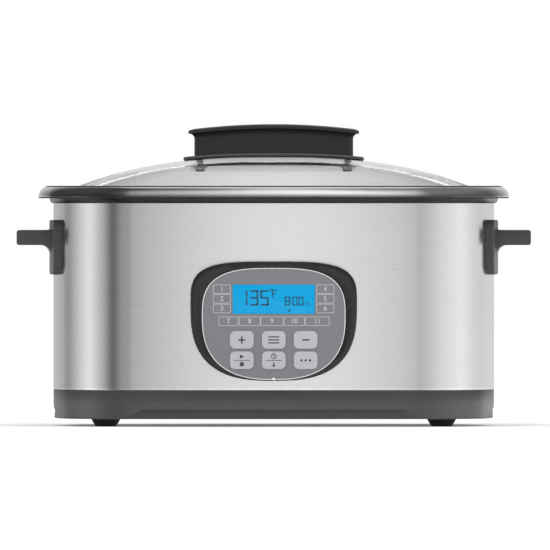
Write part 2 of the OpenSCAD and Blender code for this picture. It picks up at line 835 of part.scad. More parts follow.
// Where the heating tube turns down through the liner's floor, with room round it, and how far it reaches
element_inset = 30;
element_end = [plate_l / 2 - element_inset, 12];
element_room = 1;
element_tail = 8;
leg_inset = [22, 14];

module at_plate_legs() {
    for (x = [-1, 1], y = [-1, 1])
        translate([x * (plate_l / 2 - leg_inset.x), y * (plate_d / 2 - leg_inset.y), 0]) children();
}

module heating_plate() {
    leg_d = 12;
    plate_corner_r = 34;
    thread_l = 2;
    color("#a8a8a8") difference() {
        union() {
            translate([0, 0, plate_z]) linear_extrude(plate_t)
                polygon(rounded(plate_l, plate_d, plate_corner_r, 8));
            at_plate_legs() upright([0, 0], leg_d, liner_top, plate_z + plate_t / 2);
        }
        upright([0, 0], guide_d + 2 * guide_room, liner_floor, plate_top + over);
        at_plate_legs() upright([0, 0], heater_screw_d + 2 * running_fit, liner_floor, plate_z + thread_l);
    }
}

module heating_element() {
    under = 0.3;
    side_inset = 26;
    turn_inset = 50;
    bend = 12;
    drop_r = 6;
    z = plate_z - element_d / 2 - under;
    side_y = plate_d / 2 - side_inset;
    x0 = -plate_l / 2 + turn_inset;
    e = element_end;
    half = concat([[e.x, e.y, liner_floor - element_tail]],
        [for (a = [0:22.5:90]) [e.x, e.y + drop_r * (1 - cos(a)), z - drop_r * (1 - sin(a))]],
        [for (a = [0:15:90]) [e.x - bend + bend * cos(a), side_y - bend + bend * sin(a), z]]);
    turn = [for (a = [90:15:270]) [x0 + side_y * cos(a), side_y * sin(a), z]];
    back = [for (i = [len(half) - 1:-1:0]) [half[i].x, -half[i].y, half[i].z]];
    color("#8a8a8a") tube(concat(half, turn, back), element_d);
}

module heater_screws() {
    head_t = 2;
    color("silver") at_plate_legs() {
        upright([0, 0], heater_screw_d, liner_floor - head_t / 2, plate_z + tip_gap);
        upright([0, 0], 2 * heater_screw_d, liner_floor - head_t, liner_floor);
    }
}

module sensor_guide() {
    foot_w = 4;
    wire_hole_d = 4;
    color("#c8c0b0") difference() {
        union() {
            upright([0, 0], guide_d, liner_top, plate_z + plate_t / 2);
            upright([0, 0], guide_d + 2 * foot_w, liner_top, liner_top + guide_floor_t);
        }
        upright([0, 0], sensor_d + 2 * running_fit, liner_top + guide_floor_t, plate_top);
        upright([0, 0], wire_hole_d, liner_floor, plate_top);
    }
}

module sensor_spring() {
    wire_d = 1;
    play = 0.1;
    coil_r = sensor_d / 2 - sensor_wall - 1.2 * wire_d;
    turns = 5;
    low = liner_top + guide_floor_t + wire_d / 2 + play;
    high = sensor_top - sensor_roof - wire_d / 2 - play;
    n = turns * 12;
    color("silver") tube([for (i = [0:n])
        [coil_r * cos(30 * i), coil_r * sin(30 * i), low + (high - low) * i / n]], wire_d, 6);
}

module sensor_cap() {
    skirt_lift = 2;
    skirt_z = liner_top + guide_floor_t + skirt_lift;
    color("silver") difference() {
        upright([0, 0], sensor_d, skirt_z, sensor_top);
        upright([0, 0], sensor_d - 2 * sensor_wall, skirt_z - over, sensor_top - sensor_roof);
    }
}

module thermal_cutout() {
    inset = [35, 38];
    at = inset - [plate_l, plate_d] / 2;
    ear = [28, 10, 0.8];
    can_d = 16;
    can_h = 8;
    tab = [0.8, 6, 6];
    tab_x = 4;
    can_z = -ear.z - can_h;
    color("#b8a070") translate([at.x, at.y, liner_floor]) {
        translate([0, 0, -ear.z / 2]) cube(ear, center = true);
        upright([0, 0], can_d, can_z, -ear.z / 2);
        for (x = [-1, 1]) translate([x * tab_x, 0, can_z - tab.z / 3]) cube(tab, center = true);
    }
}

// Control panel, laid out from the front of its frame backwards

front_y = -half_d - bezel_proud;
fascia_sunk = 0.3;
fascia_y = front_y + fascia_sunk;
fascia_back = fascia_y + fascia_t;
module_t = 5.2;
board_front = fascia_back + module_t;
board_back = board_front + board_t;
sleeve_t = 2;
// How far the frame reaches in behind the fascia
panel_ledge = 1.6;
fascia_half_w = bezel_w / 2 - border_side;
fascia_up = bezel_up + waist_drop - border_top;
fascia_down = bezel_down - waist_drop - border_bottom;
// Wall of the frame under the status light, and how far the light's hole reaches past the fascia
light_wall = 0.3;
light_tail = 2;
light_z = -bezel_down + light_wall + light_d / 2;

// A flat shape on the panel, its middle on the panel's widest line, from y0 back to y1
module on_front(y0, y1) {
    translate([0, y1, panel_z]) rotate([90, 0, 0]) linear_extrude(y1 - y0) children();
}

module fascia_shape() {
    translate([0, -waist_drop]) polygon(shield(fascia_half_w, fascia_up, fascia_down, 3.05, 2.55));
}

module panel_opening() {
    offset(delta = -panel_ledge) fascia_shape();
}

module light_hole() {
    on_front(front_y - over, fascia_back + light_tail) translate([0, light_z])
        circle(d = light_d + 2 * running_fit);
}

module panel_frame() {
    hook_w = 12;
    hook_t = 1.6;
    hook_x = 18;
    hook_play = 0.6;
    hook_y = -half_d + shell_t + hook_play;
    color("#363636") difference() {
        union() {
            difference() {
                on_front(front_y, 0) polygon(shield(bezel_w / 2, bezel_up, bezel_down, 3.7, 2.75));
                block(0, 0, rim_top);
            }
            on_front(fascia_back + sleeve_t / 4, hook_y + hook_t) offset(delta = sleeve_t) panel_opening();
            intersection() {
                on_front(hook_y, hook_y + hook_t) offset(delta = sleeve_t + hook_t) panel_opening();
                on_front(hook_y - over, hook_y + over) for (x = [-1, 1])
                    translate([x * hook_x - hook_w / 2, -2 * bezel_down]) square([hook_w, 4 * bezel_down]);
            }
        }
        on_front(front_y - over, fascia_back) offset(delta = trim_w + slip_fit) fascia_shape();
        on_front(front_y - over, 0) panel_opening();
        light_hole();
    }
}

module fascia_trim() {
    color("white") difference() {
        on_front(front_y, fascia_back) difference() {
            offset(delta = trim_w) fascia_shape();
            fascia_shape();
        }
        light_hole();
    }
}

key_rows = [-key_drop, -key_drop - key_pitch_z];
fascia_post_d = 5.6;
fascia_post_x = 45;
fascia_post_rows = [9, -20];
fascia_screw_d = 2.2;

module at_fascia_posts() {
    for (x = [-1, 1], z = fascia_post_rows)
        translate([x * fascia_post_x, 0, z]) rotate([-90, 0, 0]) children();
}

module fascia() {
    color("#818286") difference() {
        union() {
            on_front(fascia_y, fascia_back) fascia_shape();
            translate([0, fascia_back - fascia_t / 4, panel_z]) at_fascia_posts()
                cylinder(d = fascia_post_d, h = module_t + fascia_t / 4);
        }
        on_front(front_y - over, board_front) {
            translate([0, lcd_rise]) square([lcd_w, lcd_h], center = true);
            for (x = [-1:1], z = key_rows) translate([x * key_pitch_x, z])
                polygon(rounded(key_w + 2 * slip_fit, key_h + 2 * slip_fit, key_r + slip_fit));
        }
        translate([0, fascia_back, panel_z]) at_fascia_posts()
            cylinder(d = fascia_screw_d + 2 * running_fit, h = module_t + over);
        light_hole();
    }
}

module display_window() {
    sunk = 0.1;
    color("deepskyblue", 0.6) on_front(fascia_y + sunk, fascia_back) translate([0, lcd_rise])
        square([lcd_w - 2 * slip_fit, lcd_h - 2 * slip_fit], center = true);
}

module display_module() {
    frame_w = 2;
    color("#d8e4e8") on_front(fascia_back, board_front) translate([0, lcd_rise])
        square([lcd_w + 2 * frame_w, lcd_h + 2 * frame_w], center = true);
}

module control_board() {
    board_room = 2;
    color("darkgreen") difference() {
        union() {
            on_front(board_front, board_back) offset(delta = -board_room) panel_opening();
            on_front(board_front, ribbon_y - ribbon_t / 2) translate([ribbon_x, ribbon_top - plug_d / 2])
                square([ribbon_w + 2 * plug_margin, plug_d], center = true);
        }
        translate([0, fascia_back, panel_z]) at_fascia_posts()
            cylinder(d = fascia_screw_d + 2 * hole_play, h = module_t + board_t + over);
    }
}

// Parts of a switch and its key in depth, so that a full press stops short of the switch's pin
switch_t = 2;
switch_pin_t = 0.5;
key_flange_t = 1;
key_gap = 0.1;
key_proud = 0.8;

module key_switches() {
    pin_y = board_front - switch_t - switch_pin_t;
    switch_w = 6;
    pin_d = 3.4;
    color("#222222") for (x = [-1:1], z = key_rows) {
        on_front(board_front - switch_t, board_front) translate([x * key_pitch_x, z])
            square(switch_w, center = true);
        on_front(pin_y, board_front - switch_t / 2) translate([x * key_pitch_x, z]) circle(d = pin_d);
    }
}

module control_board_screws() {
    head_d = 4.6;
    head_t = 1.6;
    color("silver") translate([0, board_back, panel_z]) at_fascia_posts() {
        mirror([0, 0, 1]) cylinder(d = fascia_screw_d, h = module_t + board_t - tip_gap);
        cylinder(d = head_d, h = head_t);
    }
}

module status_light() {
    proud = 0.2;
    color("white") on_front(front_y - proud, fascia_back + light_tail / 2) translate([0, light_z])
        circle(d = light_d);
}

// One key: its face, the flange that keeps it behind the fascia and the stem over its switch
module key(column, row) {
    stem_end = board_front - switch_t - switch_pin_t - slip_fit - key_travel;
    flange_y = fascia_back + key_gap;
    flange_w = 0.7;
    flange_h = 0.5;
    stem_w = 4;
    color("#bebfc4") translate([column * key_pitch_x, 0, key_rows[row]]) {
        on_front(fascia_y - key_proud, flange_y + key_flange_t) polygon(rounded(key_w, key_h, key_r));
        on_front(flange_y, flange_y + key_flange_t)
            polygon(rounded(key_w + 2 * flange_w, key_h + 2 * flange_h, key_r + flange_h));
        on_front(flange_y, stem_end) circle(d = stem_w);
    }
}

module key_plus() { key(-1, 0); }
module key_menu() { key(0, 0); }
module key_minus() { key(1, 0); }
module key_start() { key(-1, 1); }
module key_timer() { key(0, 1); }
module key_preset() { key(1, 1); }

// Power parts on the bottom cover

block_d = 10;
block_y = board_y + board_d / 2 - block_d;
block_h = 12;
lead_d = 2.6;
lead_z = board_top + block_h / 2;
ribbon_x = -30;
ribbon_w = 14;
ribbon_t = 1;
ribbon_inset = 10;
ribbon_y = -half_d + ribbon_inset;
// Upper end of the ribbon under the panel's widest line, and the plugs at its two ends
ribbon_top = -14;
plug_d = 8;
plug_h = 9;
plug_margin = 2;
plug_y = board_y - board_d / 2 + plug_margin;
// The relay and the transformer: places from the board's ends and middle, widths, depths and heights
relay_inset = 25;
relay_shift = 14;
relay_w = 19;
relay_d = 15.5;
relay_h = 15;
core_inset = 19;
core_shift = 4;
core_w = 30;
core_d = 24;
core_h = 16;
coil_w = 18;
coil_d = 32;
coil_h = 11;
block_w = 30;

module on_board(x, y, size) {
    translate([x - size.x / 2, y - size.y / 2, board_top]) cube(size);
}

module power_board() {
    color("darkgreen") difference() {
        union() {
            translate([-board_l / 2, board_y - board_d / 2, board_z]) cube([board_l, board_d, board_t]);
            translate([ribbon_x - ribbon_w / 2 - plug_margin, plug_y, board_z])
                cube([ribbon_w + 2 * plug_margin, plug_d, board_t + plug_h]);
        }
        at_board_screws() upright([0, 0], board_screw_d + 2 * hole_play, base_z, board_top + over);
    }
}

module relay() {
    color("#3060a0") on_board(relay_inset - board_l / 2, board_y + relay_shift, [relay_w, relay_d, relay_h]);
}

module transformer() {
    x = board_l / 2 - core_inset;
    color("#c0a030") union() {
        on_board(x, board_y + core_shift, [core_w, core_d, core_h]);
        on_board(x, board_y + core_shift, [coil_w, coil_d, coil_h]);
    }
}

module terminal_block() {
    color("#4a8a4a") on_board(0, block_y, [block_w, block_d, block_h]);
}

module power_board_screws() {
    head_t = 1.6;
    color("silver") at_board_screws() {
        upright([0, 0], board_screw_d, cover_top + tip_gap, board_top + head_t / 2);
        upright([0, 0], 2 * board_screw_d, board_top, board_top + head_t);
    }
}

// Inlet at the back

inlet_flange_t = 2.5;
inlet_wall = 1.75;
inlet_body_w = socket_w + 2 * inlet_wall;
inlet_body_h = socket_h + 2 * inlet_wall;
tab_l = 4.5;
tab_h = 6.3;
tab_t = 0.8;
tab_room = 1.2;
tab_end = liner_inset - tab_room;
inlet_body_t = tab_end - tab_l;
socket_floor = half_d + inlet_flange_t - socket_depth;
inlet_screw_d = 2.8;
inlet_screw_in = 5;
pins = [[-7, -2], [0, 2], [7, -2]];
pin_w = 2;
pin_h = 4;

// A flat shape on the back, its middle at the inlet, from y0 back to y1
module on_back(y0, y1) {
    translate([0, y1, inlet_z]) rotate([90, 0, 0]) linear_extrude(y1 - y0) children();
}

module at_inlet_screws() {
    for (x = [-1, 1])
        translate([x * (inlet_flange_w / 2 - inlet_screw_in), half_d, inlet_z]) rotate([90, 0, 0]) children();
}

module power_inlet() {
    flange_r = 4;
    socket_r = 3;
    color("#1c1c1c") difference() {
        union() {
            difference() {
                on_back(0, half_d + inlet_flange_t)
                    polygon(rounded(inlet_flange_w, inlet_flange_h, flange_r));
                block(0, 0, rim_top);
            }
            on_back(half_d - inlet_body_t, half_d + inlet_flange_t / 2)
                square([inlet_body_w, inlet_body_h], center = true);
        }
        on_back(socket_floor, half_d + over) polygon(rounded(socket_w, socket_h, socket_r));
        for (p = pins) on_back(0, half_d) translate(p)
            square([pin_w + 2 * running_fit, pin_h + 2 * running_fit], center = true);
        at_inlet_screws() cylinder(d = inlet_screw_d + 2 * hole_play, h = 4 * over, center = true);
    }
}

module inlet_pins() {
    color("gold") for (p = pins) {
        on_back(half_d - inlet_body_t - tab_t, socket_floor + pin_l) translate(p)
            square([pin_w, pin_h], center = true);
        on_back(half_d - tab_end, half_d - inlet_body_t) translate(p) square([tab_t, tab_h], center = true);
    }
}

module inlet_screws() {
    head_t = 1.8;
    screw_l = 7.5;
    color("silver") at_inlet_screws() translate([0, 0, -inlet_flange_t]) {
        translate([0, 0, -head_t / 2]) cylinder(d = inlet_screw_d, h = screw_l + head_t / 2);
        translate([0, 0, -head_t]) cylinder(d = 2 * inlet_screw_d, h = head_t);
    }
}

// Leads and ribbon, each clipped between its two ends

module mains_leads() {
    nudge = 0.4;
    y = half_d - tab_end + tab_l / 2 - nudge;
    ends = block_y + block_d / 2;
    color("saddlebrown") for (p = pins) {
        top = inlet_z + p.y - tab_h / 2;
        tube(concat([[p.x, y, top], [p.x, y, top - lead_d]],
            curve([p.x, y, liner_floor], [p.x, y, lead_z], [p.x, y - lead_d, lead_z],
                [p.x, ends + lead_d, lead_z], 8),
            [[p.x, ends, lead_z]]), lead_d);
    }
}

module heater_leads() {
    from_y = block_y - block_d / 2;
    low = liner_floor - element_tail;
    apart = 8;
    bow = 6;
    dip = 12;
    color("firebrick") for (side = [-1, 1]) {
        x = apart * side;
        y = element_end.y * side;
        tube(concat([[x, from_y, lead_z], [x, from_y - lead_d, lead_z]],
            curve([x, from_y - 2 * lead_d, lead_z], [x, element_end.y + bow * side, lead_z],
                [element_end.x, y + bow, low - dip], [element_end.x, y, low - lead_d], 14),
            [[element_end.x, y, low]]), lead_d);
    }
}

module control_ribbon() {
    top = panel_z + ribbon_top;
    run_lift = 4;
    run_z = board_top + run_lift;
    bend = 10;
    far_y = plug_y;
    inner = bend - ribbon_t / 2;
    outer = bend + ribbon_t / 2;
    c = [ribbon_y + bend, run_z + bend];
    color("lightgray") translate([ribbon_x - ribbon_w / 2, 0, 0]) rotate([90, 0, 90]) linear_extrude(ribbon_w)
        polygon(concat([[c.x - outer, top]], [for (a = [180:15:270]) c + outer * [cos(a), sin(a)]],
            [[far_y, run_z - ribbon_t / 2], [far_y, run_z + ribbon_t / 2]],
            [for (a = [270:-15:180]) c + inner * [cos(a), sin(a)]], [[c.x - inner, top]]));
}

lid_glass();
lid_band();
lid_handle();
lid_handle_seat();
lid_backing_strip();
lid_bushings();
lid_washers();
lid_screws();
inner_pot();
outer_shell();
top_ring();
inner_liner();
base_housing();
bottom_cover();
cover_screws();
foot_front_left();
foot_front_right();
foot_rear_left();
foot_rear_right();
tie_screws();
tie_spacers();
tie_nuts();
left_handle();
right_handle();
handle_screws();
heating_plate();
heating_element();
heater_screws();
sensor_guide();
sensor_spring();
sensor_cap();
thermal_cutout();
panel_frame();
fascia();
fascia_trim();
display_window();
display_module();
control_board();
key_switches();
control_board_screws();
status_light();
key_plus();
key_menu();
key_minus();
key_start();
key_timer();
key_preset();
power_board();
relay();
transformer();
terminal_block();
power_board_screws();
power_inlet();
inlet_pins();
inlet_screws();
mains_leads();
heater_leads();
control_ribbon();
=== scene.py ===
"""Looks of an oblong yogurt maker: fine meshes, finishes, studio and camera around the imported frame.

Sizes are in millimetres, as in the part's source, and become metres when a mesh is made.
"""

import logging
import math
from dataclasses import dataclass, field
from enum import Enum
from typing import Any, Callable, Iterable, Optional, Sequence, Union

import bmesh
import bpy
import numpy as np
from mathutils import Matrix, Vector


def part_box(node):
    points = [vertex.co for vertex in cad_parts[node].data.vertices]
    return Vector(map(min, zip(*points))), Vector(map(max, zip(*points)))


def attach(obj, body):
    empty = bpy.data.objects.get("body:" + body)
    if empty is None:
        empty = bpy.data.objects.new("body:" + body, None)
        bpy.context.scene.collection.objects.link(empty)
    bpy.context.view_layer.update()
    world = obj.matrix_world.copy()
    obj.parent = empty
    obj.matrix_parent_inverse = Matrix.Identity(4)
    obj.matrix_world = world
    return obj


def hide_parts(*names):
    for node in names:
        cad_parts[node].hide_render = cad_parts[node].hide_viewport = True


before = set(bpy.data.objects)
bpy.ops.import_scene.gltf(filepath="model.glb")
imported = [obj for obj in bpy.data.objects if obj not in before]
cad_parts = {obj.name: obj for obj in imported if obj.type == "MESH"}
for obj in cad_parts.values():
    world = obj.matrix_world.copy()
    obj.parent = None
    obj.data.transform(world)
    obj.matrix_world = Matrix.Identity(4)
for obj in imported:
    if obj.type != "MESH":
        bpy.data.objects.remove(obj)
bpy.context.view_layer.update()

MM = 0.001
SMOOTH_ANGLE = math.radians(32)
WHITE = (1.0, 1.0, 1.0, 1.0)
MERGE_MM = 0.0005

log = logging.getLogger("yogurt_maker")

Rgb = tuple[int, int, int]
Flat = tuple[float, float]
Stops = tuple[tuple[float, float], ...]
Point = tuple[float, float, float]
Ring = list[Point]
Reach = Union[float, Callable[[float], float]]
Given = Union["Value", float, tuple, bpy.types.Material]


def linear(colour: Rgb) -> tuple[float, float, float, float]:
    """Turn a screen colour into the linear colour that a shader takes.

    Args:
        colour: Red, green and blue from 0 to 255.

    Returns:
        The linear colour with a full alpha.
    """
    def one(level: float) -> float:
        """Return one channel in linear light."""
        share = level / 255
        return share / 12.92 if share <= 0.04045 else ((share + 0.055) / 1.055) ** 2.4

    return one(colour[0]), one(colour[1]), one(colour[2]), 1.0


def shaded(colour: Rgb, share: float) -> Rgb:
    """Return a screen colour made lighter or darker by a share of itself."""
    return tuple(max(0, min(255, round(level * share))) for level in colour)


# Shader maths

def operator(operation: str, swapped: bool = False) -> Callable[["Value", Given], "Value"]:
    """Return the method of an operator, which adds one Math node.

    Args:
        operation: Blender's name of the operation.
        swapped: True for the reflected form, whose inputs change places.

    Returns:
        The method for a socket and what stands beside it.
    """
    def method(self: "Value", other: Given) -> "Value":
        """Return the operation's result."""
        return self.math(operation, other, self) if swapped else self.math(operation, self, other)

    return method


class Value:
    """One output socket, with operators that add the Math nodes of an expression."""

    def __init__(self, shader: "Shader", socket: bpy.types.NodeSocket) -> None:
        """Keep the socket and the shader that it belongs to."""
        self.shader = shader
        self.socket = socket

    def math(self, operation: str, first: Given, second: Given = 0.0) -> "Value":
        """Add one Math node.

        Args:
            operation: Blender's name of the operation.
            first: Its first input.
            second: Its second input.

        Returns:
            The result's socket.
        """
        return self.shader.node("ShaderNodeMath", {"operation": operation}, {0: first, 1: second})

    __add__, __radd__ = operator("ADD"), operator("ADD", True)
    __sub__, __rsub__ = operator("SUBTRACT"), operator("SUBTRACT", True)
    __mul__, __rmul__ = operator("MULTIPLY"), operator("MULTIPLY", True)
    __truediv__, __rtruediv__ = operator("DIVIDE"), operator("DIVIDE", True)

    def greatest(self, other: Given) -> "Value":
        """Return the greater of self and other."""
        return self.math("MAXIMUM", self, other)


class Shader:
    """A node tree that is filled by expressions."""

    def __init__(self, tree: bpy.types.NodeTree) -> None:
        """Empty the tree and keep it."""
        self.tree = tree
        tree.nodes.clear()

    def node(self, kind: str, settings: Optional[dict[str, Any]] = None,
             inputs: Optional[dict[Union[int, str], Given]] = None, output: Union[int, str] = 0) -> Value:
        """Add any node.

        Args:
            kind: The node's type.
            settings: Its properties, and a ramp's stops, which are set first.
            inputs: Values or links of its sockets.
            output: Which of its outputs to return.

        Returns:
            The chosen output socket.
        """
        made = self.tree.nodes.new(kind)
        for name, setting in (settings or {}).items():
            if name == "stops":
                self._set_stops(made.color_ramp, setting)
            else:
                setattr(made, name, setting)
        for key, given in (inputs or {}).items():
            if isinstance(given, Value):
                self.tree.links.new(given.socket, made.inputs[key])
            else:
                made.inputs[key].default_value = given
        return Value(self, made.outputs[output]) if len(made.outputs) else Value(self, None)

    @staticmethod
    def _set_stops(ramp: bpy.types.ColorRamp, stops: Sequence[tuple[float, float]]) -> None:
        """Give a ramp its grey stops, each a place and a level."""
        while len(ramp.elements) < len(stops):
            ramp.elements.new(1.0)
        for element, (place, level) in zip(ramp.elements, stops):
            element.position = place
            element.color = (level, level, level, 1.0)

    def spot(self, scale: Point = (1.0, 1.0, 1.0), turn: Point = (0.0, 0.0, 0.0)) -> Value:
        """Return the piece's own coordinates, scaled and turned."""
        place = self.node("ShaderNodeTexCoord", output="Object")
        return self.node("ShaderNodeMapping", None, {"Vector": place, "Rotation": turn, "Scale": scale})

    def noise(self, scale: Union[float, Point], detail: float) -> Value:
        """Return soft noise around 0.5, with a scale in waves per metre for each axis."""
        stretch = scale if isinstance(scale, tuple) else (scale, scale, scale)
        return self.node("ShaderNodeTexNoise", None,
                         {"Vector": self.spot(stretch), "Scale": 1.0, "Detail": detail})

    def blend(self, share: Given, first: Given, second: Given) -> Value:
        """Return a colour between two, by a share from 0 to 1."""
        return self.node("ShaderNodeMix", {"data_type": "RGBA", "clamp_factor": True},
                         {0: share, 6: first, 7: second}, output=2)

    def ramp(self, share: Value, stops: Sequence[tuple[float, float]]) -> Value:
        """Return a level that follows the stops of a grey ramp."""
        return self.node("ShaderNodeValToRGB", {"stops": stops}, {"Fac": share})

    def bump(self, height: Value, strength: float, depth_mm: float) -> Value:
        """Return a normal that follows a height."""
        return self.node("ShaderNodeBump", None,
                         {"Strength": strength, "Distance": depth_mm * MM, "Height": height})

    def surface(self, sockets: dict[str, Given]) -> None:
        """End the tree in one principled surface with the given sockets."""
        shade = self.node("ShaderNodeBsdfPrincipled", None, sockets)
        self.node("ShaderNodeOutputMaterial", None, {"Surface": shade})


# Finishes

@dataclass(frozen=True)
class Finish:
    """What each finish has: a name, a colour as seen and a roughness."""

    name: str
    colour: Rgb
    roughness: float

    def material(self) -> bpy.types.Material:
        """Return the finish's material, made on its first use."""
        name = "look_" + self.name
        known = bpy.data.materials.get(name)
        if known:
            return known
        made = bpy.data.materials.new(name)
        made.use_nodes = True
        self.dress(Shader(made.node_tree))
        return made

    def dress(self, shader: Shader) -> None:
        """Fill the material's tree."""
        raise NotImplementedError

    def varied(self, shader: Shader, share: Value, drift: float) -> Value:
        """Return the colour drifting darker and lighter by a share of itself."""
        dark, light = (linear(shaded(self.colour, 1 + side * drift)) for side in (-1, 1))
        return shader.blend(share, dark, light)


class Grain(Enum):
    """Mould grains of plastic: waves per metre, bump strength and bump depth in millimetres."""

    SATIN = (1400.0, 0.12, 0.02)
    ERODED = (900.0, 0.28, 0.04)
    SMOOTH = (500.0, 0.04, 0.02)
    RUBBER = (700.0, 0.35, 0.06)


@dataclass(frozen=True)
class Plastic(Finish):
    """Moulded plastic or rubber with its grain, faint clouds and, where it has one, a gloss coat."""

    grain: Grain = Grain.SATIN
    drift: float = 0.06
    shine: float = 0.5
    coat: float = 0.0

    def dress(self, shader: Shader) -> None:
        """Fill the tree with grain, clouds and gloss."""
        waves, strength, depth = self.grain.value
        grain = shader.noise(waves, 3.0)
        clouds = shader.noise(22.0, 4.0)
        shader.surface({
            "Base Color": self.varied(shader, clouds * 0.6 + grain * 0.4, self.drift),
            "Roughness": self.roughness + (grain - 0.5) * 0.16 + (clouds - 0.5) * 0.1,
            "Specular IOR Level": self.shine,
            "Coat Weight": self.coat,
            "Coat Roughness": 0.12,
            "Normal": shader.bump(grain, strength, depth)})


@dataclass(frozen=True)
class Metal(Finish):
    """Metal whose fine texture is noise, stretched along its working direction."""

    waves: Point = (60.0, 60.0, 60.0)
    drift: float = 0.05
    relief: float = 0.05
    uneven: float = 0.1
    lengthwise: float = 0.0

    def dress(self, shader: Shader) -> None:
        """Fill the tree with the metal's texture; lengthwise is how much it smears reflections upright."""
        fine = shader.noise(self.waves, 4.0)
        broad = shader.noise(tuple(wave * 0.12 for wave in self.waves), 2.0)
        shader.surface({
            "Base Color": self.varied(shader, fine * 0.8 + broad * 0.2, self.drift),
            "Metallic": 1.0,
            "Roughness": self.roughness + (fine - 0.5) * self.uneven,
            "Anisotropic": self.lengthwise,
            "Anisotropic Rotation": 0.25,
            "Normal": shader.bump(fine, self.relief, 0.03)})


@dataclass(frozen=True)
class Coating(Finish):
    """Dark cooking coat: a fine speckle in a semi-gloss film."""

    def dress(self, shader: Shader) -> None:
        """Fill the tree with speckle and film."""
        specks = shader.noise(1500.0, 1.0)
        clouds = shader.noise(30.0, 3.0)
        lit = shader.ramp(specks, ((0.56, 0.0), (0.68, 1.0)))
        shader.surface({
            "Base Color": shader.blend(lit * 0.5 + clouds * 0.2, linear(self.colour),
                                       linear(shaded(self.colour, 1.9))),
            "Roughness": self.roughness + (clouds - 0.5) * 0.15,
            "Specular IOR Level": 0.25,
            "Normal": shader.bump(specks, 0.06, 0.02)})


@dataclass(frozen=True)
class ClearGlass(Finish):
    """Thin clear glass with the faintest haze: light passes almost straight, and its face mirrors."""

    # Painted shade: how much darker the glass is painted at its ends, and the stops of that darkening along
    # x
    tint: float = 0.92
    grazing: float = 0.86
    gloss: float = 0.6
    index: float = 1.004
    curving: Stops = ((0.12, 0.0), (0.7, 1.0))
    slanting: Stops = ((0.74, 0.0), (0.97, 1.0))

    def dress(self, shader: Shader) -> None:
        """Fill the tree with glass that is painted a little darker towards its ends, a painted shade, and is
        darker where it is seen aslant.
        """
        haze = shader.noise(40.0, 4.0)
        along = shader.node("ShaderNodeSeparateXYZ", None, {0: shader.spot()}, output="X")
        # Painted shade: the colour darkens with distance from the middle along x, towards the dome's ends
        ends = shader.ramp(along.math("ABSOLUTE", along) * 5, self.curving)
        slant = shader.node("ShaderNodeLayerWeight", None, {"Blend": 0.5}, output="Facing")
        clear, painted_end_shade, aslant = (linear(shaded(self.colour, share))
                                for share in (1.0, self.tint, self.grazing))
        shader.surface({
            "Base Color": shader.blend(shader.ramp(slant, self.slanting), shader.blend(ends, clear, painted_end_shade),
                                       aslant),
            "Roughness": self.roughness * haze,
            "Transmission Weight": 1.0,
            "IOR": self.index,
            "Coat Weight": self.gloss,
            "Coat Roughness": 0.03})


@dataclass(frozen=True)
class LitGlass(Finish):
    """A lit display: a coloured glow with fine dot rows behind a glossy window."""

    glow: float = 0.5

    def dress(self, shader: Shader) -> None:
        """Fill the tree with glow and dot rows."""
        rows = shader.node("ShaderNodeTexWave", {"bands_direction": "Z"},
                           {"Vector": shader.spot(), "Scale": 900.0})
        clouds = shader.noise(60.0, 2.0)
        colour = self.varied(shader, rows * 0.3 + clouds * 0.7, 0.04)
        shader.surface({
            "Base Color": shader.blend(0.5, (0.0, 0.0, 0.0, 1.0), colour),
            "Roughness": self.roughness + clouds * 0.05,
            "Specular IOR Level": 0.3,
            "Emission Color": colour,
            "Emission Strength": self.glow})


@dataclass(frozen=True)
class CircuitBoard(Finish):
    """Green lacquer over copper tracks."""

    def dress(self, shader: Shader) -> None:
        """Fill the tree with tracks under the lacquer."""
        tracks = shader.node("ShaderNodeTexBrick", {"offset": 0.5}, {
            "Vector": shader.spot((1.0, 1.0, 1.0), (math.radians(90), 0.0, 0.0)), "Scale": 90.0,
            "Mortar Size": 0.03, "Color1": (0, 0, 0, 1), "Color2": (0, 0, 0, 1), "Mortar": (1, 1, 1, 1)})
        clouds = shader.noise(80.0, 3.0)
        shader.surface({
            "Base Color": shader.blend(tracks, linear(self.colour), linear(shaded(self.colour, 1.5))),
            "Roughness": self.roughness + clouds * 0.12,
            "Coat Weight": 0.4,
            "Normal": shader.bump(tracks, 0.2, 0.03)})


# Shapes

class Ends(Enum):
    """How the first and last ring of a lofted shape are closed."""

    FLAT = "flat"
    STRIPS = "strips"
    POINT = "point"
    LOOP = "loop"


def arc(centre: Flat, radius: float, start: float, stop: float, steps: int) -> list[Flat]:
    """Return points along an arc, both ends included, by angles in degrees."""
    angles = np.radians(np.linspace(start, stop, steps + 1))
    return [(centre[0] + radius * math.cos(a), centre[1] + radius * math.sin(a)) for a in angles]


def quarter(steps: int, start: float = 0.0, stop: float = 90.0) -> np.ndarray:
    """Return the angles of a quarter turn in radians, both ends included."""
    return np.radians(np.linspace(start, stop, steps + 1))


def circle(reach: Reach, z: float, steps: int) -> Ring:
    """Return a ring round the upright axis, whose reach may depend on the angle."""
    angles = [2 * math.pi * i / steps for i in range(steps)]
    far = [reach(a) if callable(reach) else reach for a in angles]
    return [(r * math.cos(a), r * math.sin(a), z) for r, a in zip(far, angles)]


def rounded(length: float, width: float, radius: float, steps: int = 8, more: int = 0) -> list[Flat]:
    """Return a rounded rectangle, anticlockwise, whose points pair up across its long axis.

    Args:
        length: Its size along the first axis.
        width: Its size along the second axis.
        radius: Its corner radius.
        steps: Steps on each corner.
        more: Points added along each long side.

    Returns:
        The outline's points, starting and ending on its right side.
    """
    points: list[Flat] = []
    for across, up, start in ((1, 1, 0), (-1, 1, 90), (-1, -1, 180), (1, -1, 270)):
        centre = (across * (length / 2 - radius), up * (width / 2 - radius))
        points += arc(centre, radius, start, start + 90, steps)
        if across == up:
            points += [(centre[0] * (1 - 2 * i / (more + 1)), up * width / 2) for i in range(1, more + 1)]
    return points


